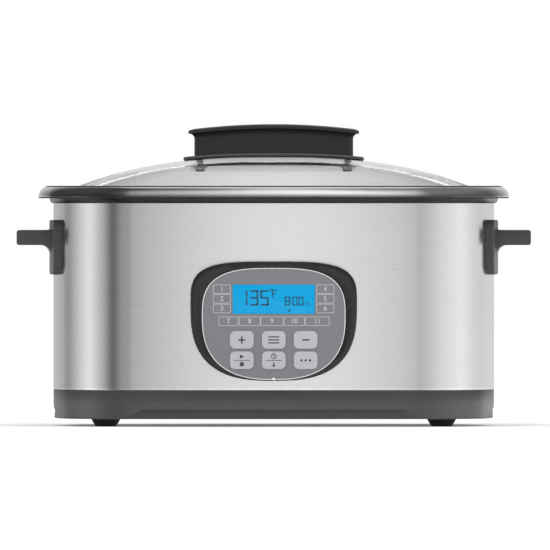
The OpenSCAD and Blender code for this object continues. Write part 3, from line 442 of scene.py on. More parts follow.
def shield(half_w: float, up: float, down: float, square_up: float, square_down: float,
           steps: int = 224) -> list[Flat]:
    """Return the panel's outline: two half ovals with squared shoulders on one widest line."""
    points: list[Flat] = []
    for i in range(steps):
        c, s = math.cos(2 * math.pi * i / steps), math.sin(2 * math.pi * i / steps)
        power = 2 / (square_up if s >= 0 else square_down)
        points.append((half_w * math.copysign(abs(c) ** power, c),
                       (up if s >= 0 else down) * math.copysign(abs(s) ** power, s)))
    return points


def grown(points: Sequence[Flat], distance: float) -> list[Flat]:
    """Return an anticlockwise outline moved outwards by a distance."""
    here = np.array(points)
    along = np.roll(here, -1, axis=0) - np.roll(here, 1, axis=0)
    along /= np.linalg.norm(along, axis=1)[:, None]
    return [tuple(p) for p in here + distance * np.stack([along[:, 1], -along[:, 0]], axis=1)]


def filleted(points: Sequence[Flat], radius: float, steps: int = 4) -> list[Flat]:
    """Return a closed outline with its corners rounded.

    Args:
        points: The outline's corners.
        radius: The fillet's radius, limited by the shorter side at each corner.
        steps: Steps on each corner.

    Returns:
        The rounded outline.
    """
    result: list[Flat] = []
    for i, corner in enumerate(points):
        here = Vector(corner)
        before = Vector(points[i - 1]) - here
        after = Vector(points[(i + 1) % len(points)]) - here
        half = before.angle(after) / 2
        reach = min(radius / math.tan(half), 0.48 * before.length, 0.48 * after.length)
        start, stop = here + reach * before.normalized(), here + reach * after.normalized()
        for step in range(steps + 1):
            t = step / steps
            result.append(tuple((1 - t) ** 2 * start + 2 * t * (1 - t) * here + t ** 2 * stop))
    return result


@dataclass
class Shape:
    """Points in millimetres and the faces between them."""

    points: list[Point]
    faces: list[tuple[int, ...]]

    @staticmethod
    def loft(rings: Sequence[Sequence[Point]], ends: Ends = Ends.FLAT) -> "Shape":
        """Join rings of equal length.

        Args:
            rings: The rings, one after another.
            ends: How the first and last ring are closed.

        Returns:
            The closed shape.
        """
        count, last = len(rings[0]), len(rings) - 1
        points = [tuple(p) for ring in rings for p in ring]
        faces: list[tuple[int, ...]] = []
        for j in range(last + (1 if ends is Ends.LOOP else 0)):
            low, high = j * count, ((j + 1) % len(rings)) * count
            for i in range(count):
                after = (i + 1) % count
                faces.append((low + i, low + after, high + after, high + i))
        for ring in () if ends is Ends.LOOP else (0, last):
            at = ring * count
            if ends is Ends.FLAT:
                faces.append(tuple(range(at, at + count)))
            elif ends is Ends.STRIPS:
                faces += [(at + i, at + i + 1, at + count - 2 - i, at + count - 1 - i)
                          for i in range(count // 2 - 1)]
            else:
                points.append(tuple(np.mean(rings[ring], axis=0)))
                faces += [(at + i, at + (i + 1) % count, len(points) - 1) for i in range(count)]
        return Shape(points, faces)

    @staticmethod
    def spun(section: Sequence[tuple[Reach, float]], steps: int = 48, ends: Ends = Ends.FLAT) -> "Shape":
        """Turn a section of reaches and heights round the upright axis."""
        return Shape.loft([circle(r, z, steps) for r, z in section], ends)

    @staticmethod
    def prism(outline: Sequence[Flat], low: float, high: float) -> "Shape":
        """Raise a flat outline from one height to another."""
        return Shape.loft([[(x, y, low) for x, y in outline], [(x, y, high) for x, y in outline]])

    @staticmethod
    def block(outline: Sequence[Flat], low: float, high: float, edge: float, steps: int = 3) -> "Shape":
        """Raise a flat outline with its lower and upper edges rounded by a small radius."""
        rings = []
        for z, side in ((low, 1), (high, -1)):
            turn = [math.radians(90 * i / steps) for i in range(steps + 1)]
            level = [(edge * (math.cos(t) - 1), z + side * edge * (1 - math.sin(t))) for t in turn]
            rings += level[::-1] if side > 0 else level
        return Shape.loft([[(x, y, z) for x, y in grown(outline, o)] for o, z in rings])

    @staticmethod
    def joined(shapes: Iterable["Shape"]) -> "Shape":
        """Return several shapes as one."""
        return sum(shapes, Shape([], []))

    def pair(self, x: float) -> "Shape":
        """Return two copies of the shape, x to the left and x to the right."""
        return self.moved(-x, 0, 0) + self.moved(x, 0, 0)

    def __add__(self, other: "Shape") -> "Shape":
        """Return both shapes as one."""
        shift = len(self.points)
        return Shape(self.points + other.points,
                     self.faces + [tuple(i + shift for i in face) for face in other.faces])

    def turned(self, matrix: Matrix) -> "Shape":
        """Return the shape moved and turned by a matrix in millimetres."""
        return Shape([tuple(matrix @ Vector(p)) for p in self.points], self.faces)

    def moved(self, x: float, y: float, z: float) -> "Shape":
        """Return the shape moved by x, y and z."""
        return self.turned(Matrix.Translation((x, y, z)))

    def made(self, name: str) -> bpy.types.Object:
        """Return a mesh object in metres, merged, with its faces outwards."""
        mesh = bpy.data.meshes.new(name)
        mesh.from_pydata([(x * MM, y * MM, z * MM) for x, y, z in self.points], [], self.faces)
        work = bmesh.new()
        work.from_mesh(mesh)
        bmesh.ops.remove_doubles(work, verts=work.verts, dist=MERGE_MM * MM)
        bmesh.ops.recalc_face_normals(work, faces=work.faces)
        work.to_mesh(mesh)
        work.free()
        made = bpy.data.objects.new(name, mesh)
        bpy.context.scene.collection.objects.link(made)
        return made


FACING_FRONT = Matrix.Rotation(math.radians(90), 4, "X")
FACING_BACK = Matrix.Rotation(math.radians(-90), 4, "X")


class Workshop:
    """Steps that are shared by all pieces once their shapes are there."""

    @staticmethod
    def applied(piece: bpy.types.Object) -> None:
        """Put the result of a piece's modifiers into its mesh and remove them."""
        graph = bpy.context.evaluated_depsgraph_get()
        result = bpy.data.meshes.new_from_object(piece.evaluated_get(graph))
        piece.modifiers.clear()
        old = piece.data
        piece.data = result
        bpy.data.meshes.remove(old)

    @staticmethod
    def combined(piece: bpy.types.Object, other: Union[Shape, bpy.types.Object],
                 operation: str = "DIFFERENCE") -> None:
        """Cut another shape out of a piece, or join or keep what they share."""
        tool = other.made("tool") if isinstance(other, Shape) else other
        change = piece.modifiers.new("change", "BOOLEAN")
        change.operation = operation
        change.solver = "EXACT"
        change.object = tool
        Workshop.applied(piece)
        spare = tool.data
        bpy.data.objects.remove(tool)
        bpy.data.meshes.remove(spare)

    @staticmethod
    def eased(piece: bpy.types.Object, width: float, steps: int = 2, angle: float = 40) -> None:
        """Round a piece's sharp edges by a width in millimetres."""
        ease = piece.modifiers.new("ease", "BEVEL")
        ease.width = width * MM
        ease.segments = steps
        ease.limit_method = "ANGLE"
        ease.angle_limit = math.radians(angle)
        ease.harden_normals = False
        Workshop.applied(piece)

    @staticmethod
    def copied(node: str, name: str) -> bpy.types.Object:
        """Return a merged copy of a node, with its flat faces whole."""
        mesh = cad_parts[node].data.copy()
        work = bmesh.new()
        work.from_mesh(mesh)
        bmesh.ops.remove_doubles(work, verts=work.verts, dist=0.002 * MM)
        bmesh.ops.dissolve_limit(work, angle_limit=math.radians(1), verts=work.verts, edges=work.edges)
        work.to_mesh(mesh)
        work.free()
        mesh.materials.clear()
        made = bpy.data.objects.new(name, mesh)
        bpy.context.scene.collection.objects.link(made)
        return made

    @staticmethod
    def dressed(piece: bpy.types.Object, body: str, slot: str, finishes: Sequence[Finish],
                replaced: Sequence[str] = (), pick: Optional[Callable[[Vector], int]] = None) -> None:
        """Give a piece its finishes, its body and the nodes that it stands for.

        Args:
            piece: The finished mesh object.
            body: The body that it rides on.
            slot: The record's slot of its finish; not used.
            finishes: Its finishes, in slot order.
            replaced: The nodes that it replaces.
            pick: Returns a face's finish from its middle, in millimetres.
        """
        mesh = piece.data
        mesh.materials.clear()
        for finish in finishes:
            mesh.materials.append(finish.material())
        for face in mesh.polygons:
            face.material_index = pick(face.center / MM) if pick else 0
            face.use_smooth = True
        mesh.set_sharp_from_angle(angle=SMOOTH_ANGLE)
        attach(piece, body)
        if replaced:
            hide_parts(*replaced)
        log.info("%s: %d faces on %s", piece.name, len(mesh.polygons), body)

    @staticmethod
    def node_finish(finish: Finish, node: str) -> None:
        """Give a kept node a finish."""
        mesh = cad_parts[node].data
        mesh.materials.clear()
        mesh.materials.append(finish.material())
        log.info("%s: kept, %s", node, finish.name)


# What repeats

@dataclass(frozen=True)
class Place:
    """Where one copy of a repeated piece goes: millimetres, turns in radians and stretches."""

    at: Point
    turn: Point = (0.0, 0.0, 0.0)
    stretch: Point = (1.0, 1.0, 1.0)


def four(at: Flat, z: float, turn: Point = (0.0, 0.0, 0.0), middle: float = 0.0) -> list[Place]:
    """Return four places that mirror each other, about a middle along the depth."""
    return [Place((x * at[0], middle + y * at[1], z), turn) for x in (-1, 1) for y in (-1, 1)]


class NodeRule:
    """A Geometry Nodes tree with named inputs that is turned into a plain mesh."""

    def __init__(self, name: str, inputs: dict[str, str]) -> None:
        """Make the tree with its inputs, each a name and a socket type."""
        self.tree = bpy.data.node_groups.new(name, "GeometryNodeTree")
        sockets = self.tree.interface
        sockets.new_socket("Places", in_out="INPUT", socket_type="NodeSocketGeometry")
        self.inputs = {key: sockets.new_socket(key, in_out="INPUT", socket_type=kind).identifier
                       for key, kind in inputs.items()}
        sockets.new_socket("Result", in_out="OUTPUT", socket_type="NodeSocketGeometry")
        self.start = self.tree.nodes.new("NodeGroupInput").outputs

    def add(self, kind: str, links: dict[str, Any], **settings: Any) -> bpy.types.NodeSocket:
        """Add a node.

        Args:
            kind: The node's type.
            links: Sockets or values for its inputs, by name.
            settings: Its properties, which are set first.

        Returns:
            Its first output in use, or nothing.
        """
        made = self.tree.nodes.new(kind)
        for key, setting in settings.items():
            setattr(made, key, setting)
        for key, given in links.items():
            socket = next(s for s in made.inputs if s.name == key and s.enabled)
            if isinstance(given, bpy.types.NodeSocket):
                self.tree.links.new(given, socket)
            else:
                socket.default_value = given
        shown = [s for s in made.outputs if s.enabled]
        wanted = [s for s in shown if s.name == "Geometry"]
        return (wanted or shown or [None])[0]

    def attribute(self, name: str) -> bpy.types.NodeSocket:
        """Return a vector that each place carries."""
        return self.add("GeometryNodeInputNamedAttribute", {"Name": name}, data_type="FLOAT_VECTOR")

    def copies(self, template: bpy.types.NodeSocket) -> bpy.types.NodeSocket:
        """Return a template set on every place, turned and stretched as the place says."""
        turn = self.add("FunctionNodeEulerToRotation", {"Euler": self.attribute("turn")})
        put = self.add("GeometryNodeInstanceOnPoints", {
            "Points": self.start["Places"], "Instance": template, "Rotation": turn,
            "Scale": self.attribute("stretch")})
        return self.add("GeometryNodeRealizeInstances", {"Geometry": put})

    def end(self, result: bpy.types.NodeSocket) -> None:
        """End the tree in the material and the output."""
        dressed = self.add("GeometryNodeSetMaterial", {
            "Geometry": result, "Material": self.start["Material"]})
        self.add("NodeGroupOutput", {"Result": dressed})

    def run(self, name: str, places: Sequence[Place], values: dict[str, Any]) -> bpy.types.Object:
        """Run the rule.

        Args:
            name: The new piece's name.
            places: Where its copies go.
            values: The tree's inputs, by name.

        Returns:
            The piece, with a plain mesh.
        """
        mesh = bpy.data.meshes.new(name)
        mesh.from_pydata([tuple(c * MM for c in place.at) for place in places], [], [])
        for key in ("turn", "stretch"):
            layer = mesh.attributes.new(key, "FLOAT_VECTOR", "POINT")
            layer.data.foreach_set("vector", [c for place in places for c in getattr(place, key)])
        piece = bpy.data.objects.new(name, mesh)
        bpy.context.scene.collection.objects.link(piece)
        rule = piece.modifiers.new("rule", "NODES")
        rule.node_group = self.tree
        for key, value in values.items():
            rule[self.inputs[key]] = value
        Workshop.applied(piece)
        return piece


class Repeater(NodeRule):
    """Sets one template on many places."""

    def __init__(self) -> None:
        """Build the tree."""
        super().__init__("repeat_piece", {"Template": "NodeSocketObject", "Material": "NodeSocketMaterial"})
        template = self.add("GeometryNodeObjectInfo", {"Object": self.start["Template"]})
        self.end(self.copies(template))

    def spread(self, name: str, template: Shape, places: Sequence[Place],
               finish: Finish) -> bpy.types.Object:
        """Return one piece with a copy of the template on every place."""
        pattern = template.made(name + "_pattern")
        piece = self.run(name, places, {"Template": pattern, "Material": finish.material()})
        spare = pattern.data
        bpy.data.objects.remove(pattern)
        bpy.data.meshes.remove(spare)
        return piece


class LineDrawer(NodeRule):
    """Draws flat rounded frames of one line width, of the sizes that the places give."""

    def __init__(self) -> None:
        """Build the tree."""
        super().__init__("draw_frames", {"Corner": "NodeSocketFloat", "Line": "NodeSocketFloat",
                                         "Height": "NodeSocketFloat", "Material": "NodeSocketMaterial"})
        square = self.add("GeometryNodeCurvePrimitiveQuadrilateral", {"Width": 1.0, "Height": 1.0})
        frames = self.copies(square)
        soft = self.add("GeometryNodeFilletCurve", {
            "Curve": frames, "Radius": self.start["Corner"], "Count": 4, "Limit Radius": True}, mode="POLY")
        profile = self.add("GeometryNodeCurvePrimitiveQuadrilateral",
                           {"Width": self.start["Line"], "Height": self.start["Height"]})
        self.end(self.add("GeometryNodeCurveToMesh", {"Curve": soft, "Profile Curve": profile}))


# The body's plan

@dataclass
class BodyPlan:
    """The rounded oblong that all rings round the body follow."""

    corner_r: float = 62.0
    front_bow_r: float = 1500.0
    end_bow_r: float = 320.0
    half_l: float = field(init=False)
    half_d: float = field(init=False)

    def __post_init__(self) -> None:
        """Take the size from the steel and work out the arcs."""
        low, high = (np.array(corner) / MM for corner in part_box("outer_shell"))
        self.half_l, self.half_d = ((high - low) / 2)[:2]
        end = np.array([self.half_l - self.end_bow_r, 0.0])
        back = np.array([0.0, self.half_d - self.front_bow_r])
        gap = float(np.linalg.norm(back - end))
        towards = (back - end) / gap
        near, far = self.end_bow_r - self.corner_r, self.front_bow_r - self.corner_r
        along = (near ** 2 - far ** 2 + gap ** 2) / (2 * gap)
        aside = math.sqrt(near ** 2 - along ** 2)
        self.corner = end + along * towards + aside * np.array([-towards[1], towards[0]])
        self.end, self.back = end, back
        self.end_angle = math.degrees(math.atan2(self.corner[1], self.corner[0] - end[0]))
        self.back_angle = math.degrees(math.atan2(self.corner[1] - back[1], self.corner[0]))

    def outline(self, d: float) -> list[Flat]:
        """Return the plan moved outwards by d, anticlockwise from the right end."""
        (cx, cy), ends, turn = self.corner, self.end_angle, self.back_angle
        quarter = [((cx, cy), self.corner_r, ends, turn, 26),
                   (tuple(self.back), self.front_bow_r, turn, 180 - turn, 18),
                   ((-cx, cy), self.corner_r, 180 - turn, 180 - ends, 26),
                   (tuple(-self.end), self.end_bow_r, 180 - ends, 180 + ends, 18),
                   ((-cx, -cy), self.corner_r, 180 + ends, 180 + turn, 26),
                   (tuple(-self.back), self.front_bow_r, 180 + turn, 360 - turn, 18),
                   ((cx, -cy), self.corner_r, 360 - turn, 360 - ends, 26),
                   (tuple(self.end), self.end_bow_r, -ends, ends, 18)]
        return [p for c, r, a, b, n in quarter for p in arc(c, r + d, a, b, n)[:-1]]

    def ring(self, d: float, z: float, share: float = 1.0) -> Ring:
        """Return the plan at a height, drawn in towards the middle by a share."""
        return [(share * x, share * y, z) for x, y in self.outline(d)]

    def swept(self, section: Sequence[Flat], ends: Ends = Ends.LOOP) -> Shape:
        """Return a shape round the body from a section of distances and heights."""
        return Shape.loft([self.ring(d, z) for d, z in section], ends)

    def back_y(self, x: float, d: float = 0.0) -> float:
        """Return the distance of the back or front from the middle, at x."""
        return self.back[1] + math.sqrt((self.front_bow_r + d) ** 2 - x * x)

    def end_x(self, y: float, d: float = 0.0) -> float:
        """Return the distance of the right end from the middle, at y."""
        return self.end[0] + math.sqrt((self.end_bow_r + d) ** 2 - y * y)

    def share(self, x: float, y: float, d: float) -> float:
        """Return how far a point lies out towards the plan's edge, from 0 to 1."""
        edge = np.array(self.outline(d))
        angles = np.unwrap(np.arctan2(edge[:, 1], edge[:, 0]))
        here = math.atan2(y, x)
        here += 2 * math.pi if here < angles[0] else 0.0
        reach = np.interp(here, angles, np.linalg.norm(edge, axis=1), period=2 * math.pi)
        return math.hypot(x, y) / float(reach)


PLAN = BodyPlan()
REPEATER = Repeater()
LINES = LineDrawer()


# Finishes of this object

STEEL = Metal("brushed_steel", (226, 226, 224), 0.27, (28.0, 28.0, 1100.0), 0.045, 0.001, 0.03, 0.6)
# Painted shade: the neck is the shell's steel, darkened to stand for the shadow under the pot's rim
NECK_SHADED_METAL = Metal("neck_painted_shade", (64, 64, 65), 0.3, (60.0, 60.0, 500.0), 0.05, 0.03, 0.1, 0.3)
GUNMETAL = Metal("gunmetal_rim", (236, 236, 237), 0.12, (40.0, 40.0, 260.0), 0.06, 0.02, 0.06)
BAND_STEEL = Metal("polished_band", (205, 205, 204), 0.2, (60.0, 60.0, 300.0), 0.05, 0.02, 0.08)
LINER_SHEET = Metal("aluminised_sheet", (188, 189, 190), 0.38, (150.0, 150.0, 150.0), 0.12, 0.06, 0.2)
CAST_METAL = Metal("cast_aluminium", (168, 168, 166), 0.48, (420.0, 420.0, 420.0), 0.14, 0.3, 0.2)
TUBE_METAL = Metal("heater_sheath", (122, 120, 116), 0.4, (30.0, 30.0, 30.0), 0.16, 0.08, 0.2)
PLATED = Metal("plated_fastener", (196, 196, 193), 0.27, (300.0, 300.0, 300.0), 0.08, 0.05, 0.14)
SENSOR_METAL = Metal("spun_sensor", (180, 180, 178), 0.3, (120.0, 120.0, 900.0), 0.08, 0.05, 0.12)
BRASS = Metal("contact_brass", (196, 160, 88), 0.28, (200.0, 200.0, 200.0), 0.08, 0.04, 0.14)
POT_COAT = Coating("pot_coating", (30, 31, 33), 0.5)
GLASS = ClearGlass("clear_glass", (241, 242, 242), 0.02)
HANDLE_PLASTIC = Plastic("handle_plastic", (54, 54, 55), 0.42, Grain.SATIN, 0.06, 0.3)
SEAT_PLASTIC = Plastic("seat_plastic", (86, 86, 87), 0.42, Grain.SATIN, 0.06, 0.45)
STRIP_SILICONE = Plastic("strip_silicone", (104, 105, 107), 0.6, Grain.SMOOTH)
POST_SILICONE = ClearGlass("post_silicone", (236, 237, 238), 0.06, 0.97, 0.97, 0.0)
SIDE_PLASTIC = Plastic("side_handle_plastic", (68, 68, 69), 0.4, Grain.SATIN)
BASE_PLASTIC = Plastic("base_plastic", (70, 70, 71), 0.32, Grain.SATIN, 0.05, 0.6)
COVER_PLASTIC = Plastic("cover_plastic", (58, 58, 59), 0.6, Grain.ERODED)
RUBBER = Plastic("foot_rubber", (32, 32, 33), 0.75, Grain.RUBBER, 0.06, 0.2)
FRAME_PLASTIC = Plastic("frame_plastic", (40, 40, 41), 0.3, Grain.SMOOTH, 0.06, 0.35)
FASCIA_FILM = Plastic("fascia_film", (133, 134, 138), 0.5, Grain.ERODED, 0.03)
TRIM_WHITE = Plastic("trim_white", (240, 241, 242), 0.4, Grain.SMOOTH, 0.03)
LIGHT_LENS = Plastic("light_lens", (252, 252, 250), 0.3, Grain.SMOOTH, 0.02)
KEY_PLASTIC = Plastic("key_plastic", (195, 196, 200), 0.45, Grain.SATIN, 0.03)
SIGN_INK = Plastic("sign_ink", (72, 73, 76), 0.6, Grain.SMOOTH, 0.05)
LABEL_INK = Plastic("label_ink", (206, 207, 210), 0.6, Grain.SMOOTH, 0.03)
DISPLAY = LitGlass("lit_display", (10, 168, 228), 0.22)
SEGMENT_INK = Plastic("segment_ink", (30, 92, 128), 0.5, Grain.SMOOTH, 0.05)
HEAT_PLASTIC = Plastic("heat_plastic", (196, 188, 170), 0.6, Grain.ERODED)
INLET_PLASTIC = Plastic("inlet_plastic", (30, 30, 31), 0.45, Grain.SATIN)
MODULE_PLASTIC = Plastic("module_plastic", (214, 224, 228), 0.5, Grain.SMOOTH)
SWITCH_PLASTIC = Plastic("switch_plastic", (34, 34, 34), 0.5, Grain.SATIN)
RELAY_PLASTIC = Plastic("relay_plastic", (48, 96, 160), 0.4, Grain.SMOOTH)
TERMINAL_PLASTIC = Plastic("terminal_plastic", (74, 138, 74), 0.5, Grain.SATIN)
COIL_TAPE = Plastic("coil_tape", (190, 160, 52), 0.5, Grain.ERODED, 0.12)
MAINS_SLEEVE = Plastic("mains_sleeve", (126, 74, 34), 0.5, Grain.SMOOTH)
HEATER_SLEEVE = Plastic("heater_sleeve", (168, 44, 40), 0.65, Grain.RUBBER)
RIBBON_SLEEVE = Plastic("ribbon_sleeve", (200, 200, 202), 0.55, Grain.SMOOTH)
BOARD = CircuitBoard("board_lacquer", (24, 92, 48), 0.35)


def screw(shaft_d: float, head_d: float, head_t: float, length: float) -> Shape:
    """Return a pan head screw on the upright axis, its head's seat at zero and its shaft upwards.

    Args:
        shaft_d: Diameter of the shaft.
        head_d: Diameter of the head.
        head_t: Height of the head.
        length: Length of the shaft past the seat.

    Returns:
        The screw with a cross recess in its head.
    """
    cut, deep, steps = 0.32 * head_d, 0.55 * head_t, 32
    shaft, head = shaft_d / 2, head_d / 2

    def cross(reach: float) -> Callable[[float], float]:
        """Return how far a cross of some reach goes out at an angle."""
        return lambda a: reach * (1.0 if abs((math.degrees(a) + 45) % 90 - 45) < 12 else 0.42)

    section = [(shaft * 0.7, length), (shaft, length - 0.35 * shaft_d), (shaft, 0.0), (head, 0.0),
               (head, -0.45 * head_t), (0.93 * head, -0.75 * head_t), (0.74 * head, -0.95 * head_t),
               (0.5 * head, -head_t), (cross(cut), -head_t), (cross(0.8 * cut), -head_t + deep)]
    return Shape.spun(section, steps)


# Lid

@dataclass
class Lid:
    """Glass dome with its steel band, handle, seat, backing strip and fasteners."""

    glass_d: float = -16.5
    glass_t: float = 4.0
    power: float = 2.6
    top_z: float = 215.0
    edge_z: float = 190.6
    under_z: float = 187.4
    seat_z: float = 186.6
    screw_x: float = 59.0
    pad_z: float = 206.8
    hole_d: float = 6.4
    handle_l: float = 127.2
    handle_w: float = 17.0
    handle_top: float = 241.4
    arch: float = 4.4
    flare: float = 4.8
    flange_t: float = 2.6
    seat_t: float = 3.2

    def over(self, share: float) -> float:
        """Return the height of the glass's outside at a share of the way to its edge."""
        return self.top_z - (self.top_z - self.edge_z) * share ** self.power

    def below(self, share: float) -> float:
        """Return the height of the glass's inside at a share of the way to its edge."""
        top = self.top_z - self.glass_t
        return top - (top - self.under_z) * share ** self.power

    def outer_z(self, x: float, y: float) -> float:
        """Return the height of the glass's outside at a point."""
        return self.over(PLAN.share(x, y, self.glass_d))

    def inner_z(self, x: float, y: float) -> float:
        """Return the height of the glass's inside at a point."""
        return self.below(PLAN.share(x, y, self.glass_d - self.glass_t))

    def glass(self) -> None:
        """Make the dome with a soft edge and its two holes."""
        out, bore = self.glass_d, self.hole_d / 2
        shares = [math.sin(math.radians(a)) for a in np.linspace(1.5, 90, 34)]
        rings = [PLAN.ring(out - self.glass_t, self.below(s), s) for s in shares]
        rings += [PLAN.ring(d, z) for d, z in ((out - 0.5, self.under_z), (out, self.under_z + 0.5),
                                              (out, self.edge_z - 0.9), (out - 0.25, self.edge_z - 0.25))]
        rings += [PLAN.ring(out, self.over(s), s) for s in shares[-2::-1]]
        piece = Shape.loft(rings, Ends.POINT).made("lid_dome")
        hole = Shape.spun([(bore, self.seat_z), (bore, self.handle_top)], 32)
        Workshop.combined(piece, hole.pair(self.screw_x))
        Workshop.dressed(piece, "lid", "clear_glass", [GLASS], ["lid_glass"])

    def band(self) -> None:
        """Make the steel band that holds the edge of the glass."""
        out, sheet, inner, soft = -15.5, 0.8, -21.5, 0.3
        low, top = self.seat_z, self.seat_z + 3.4
        section = filleted([(out, low), (out, top), (out - sheet, top), (out - sheet, self.under_z),
                            (inner, self.under_z), (inner, low)], soft, 3)
        piece = PLAN.swept(section).made("lid_rim_band")
        Workshop.dressed(piece, "lid", "plated_steel", [BAND_STEEL], ["lid_band"])

    def handle(self) -> None:
        """Make the arched grip with its flared top and rounded upright edges."""
        corner, crown, crown_in, edge = 4.0, 0.8, 5.0, 0.8
        edge_z, half = self.handle_top - crown, self.handle_l / 2 + self.flare

        def level(o: float, z: float) -> Ring:
            """Return one level of the handle, o wider all round, arched along its length."""
            outline = rounded(self.handle_l + 2 * o, self.handle_w + 2 * o, corner + o, 12, 31)
            return [(x, y, z - self.arch * (x / half) ** 2) for x, y in outline]

        foot = [(x, y, self.outer_z(x, y) + self.seat_t) for x, y, z in level(0, 0)]
        turns = quarter(10)
        under = edge_z - self.flange_t
        rings = [foot] + [level(self.flare * (1 - math.cos(t)), under - self.flare * (1 - math.sin(t)))
                          for t in turns]
        rings += [level(self.flare - edge * (1 - math.cos(t)), edge_z - edge * (1 - math.sin(t)))
                  for t in turns[::2]]
        inside = self.flare - edge
        for s in (0.25, 0.5, 0.75, 1.0):
            rings.append(level(inside - (crown_in - edge) * s, edge_z + crown * math.sin(s * math.pi / 2)))
        rings.append(level(self.flare - crown_in - 3, self.handle_top))
        piece = Shape.loft(rings, Ends.STRIPS).made("lid_grip")
        Workshop.dressed(piece, "lid", "handle_plastic", [HANDLE_PLASTIC], ["lid_handle"])

    def pad(self, name: str, length: float, width: float, corner: float, low: float, high: float,
            edge: float, height: Callable[[float, float], float]) -> bpy.types.Object:
        """Make a pad that follows the glass.

        Args:
            name: The piece's name.
            length: Its length.
            width: Its width.
            corner: Its corner radius.
            low: Its lower face over the glass's surface.
            high: Its upper face over the glass's surface.
            edge: The radius of its edges.
            height: The surface that it follows.

        Returns:
            The piece.
        """
        levels = [(-width * 0.34, low), (-edge, low)]
        levels += [(edge * (math.cos(t) - 1), low + edge * (1 - math.sin(t)))
                   for t in quarter(3, 90, 0)]
        levels += [(edge * (math.cos(t) - 1), high - edge * (1 - math.sin(t)))
                   for t in quarter(5)]
        levels += [(-edge - 2, high), (-width * 0.2, high), (-width * 0.34, high)]
        rings = []
        for o, rise in levels:
            radius = max(corner + o, 0.6)
            outline = rounded(length + 2 * o, width + 2 * o, radius, 10, 25)
            rings.append([(x, y, height(x, y) + rise) for x, y in outline])
        return Shape.loft(rings, Ends.STRIPS).made(name)

    def pads(self) -> None:
        """Make the seat over the glass and the strip under it."""
        seat = self.pad("handle_seat", self.handle_l + 17.6, self.handle_w + 15, 8.0, 0.05,
                        self.seat_t - 0.02, 1.5, self.outer_z)
        Workshop.dressed(seat, "lid", "seat_plastic", [SEAT_PLASTIC], ["lid_handle_seat"])
        strip = self.pad("backing_strip", self.handle_l + 4.8, self.handle_w + 7, 6.0, -1.8, -0.08, 0.5,
                         self.inner_z)
        low, top = self.pad_z, self.pad_z + 1.6
        disc = Shape.spun([(2.4, low), (5.7, low), (6.0, low + 0.3), (6.0, top), (2.4, top)], 40, Ends.LOOP)
        Workshop.combined(strip, disc.pair(self.screw_x), "UNION")
        Workshop.dressed(strip, "lid", "silicone", [STRIP_SILICONE], ["lid_backing_strip"])

    def fasteners(self) -> None:
        """Make the posts in the glass's holes, the washers and the screws."""
        places = [Place((side * self.screw_x, 0.0, 0.0)) for side in (-1, 1)]
        low, high = self.inner_z(self.screw_x, 0) + 0.5, self.outer_z(self.screw_x, 0) - 0.5
        post = Shape.spun([(2.06, low), (2.8, low), (3.1, low + 0.3), (3.1, high - 0.3), (2.8, high),
                           (2.06, high)], 32, Ends.LOOP)
        washer = Shape.spun([(2.3, self.pad_z - 1), (4.7, self.pad_z - 1), (5.0, self.pad_z - 0.8),
                             (5.0, self.pad_z - 0.1), (2.3, self.pad_z - 0.1)], 40, Ends.LOOP)
        bolt = screw(4.0, 8.0, 2.4, 24.0).moved(0, 0, self.pad_z - 1.05)
        for name, template, finish, slot, node in (
                ("glass_posts", post, POST_SILICONE, "silicone", "lid_bushings"),
                ("lid_flat_washers", washer, PLATED, "plated_steel", "lid_washers"),
                ("lid_pan_screws", bolt, PLATED, "plated_steel", "lid_screws")):
            piece = REPEATER.spread(name, template, places, finish)
            Workshop.dressed(piece, "lid", slot, [finish], [node])

    def build(self) -> None:
        """Make all pieces of the lid."""
        self.glass()
        self.band()
        self.handle()
        self.pads()
        self.fasteners()


# Pot

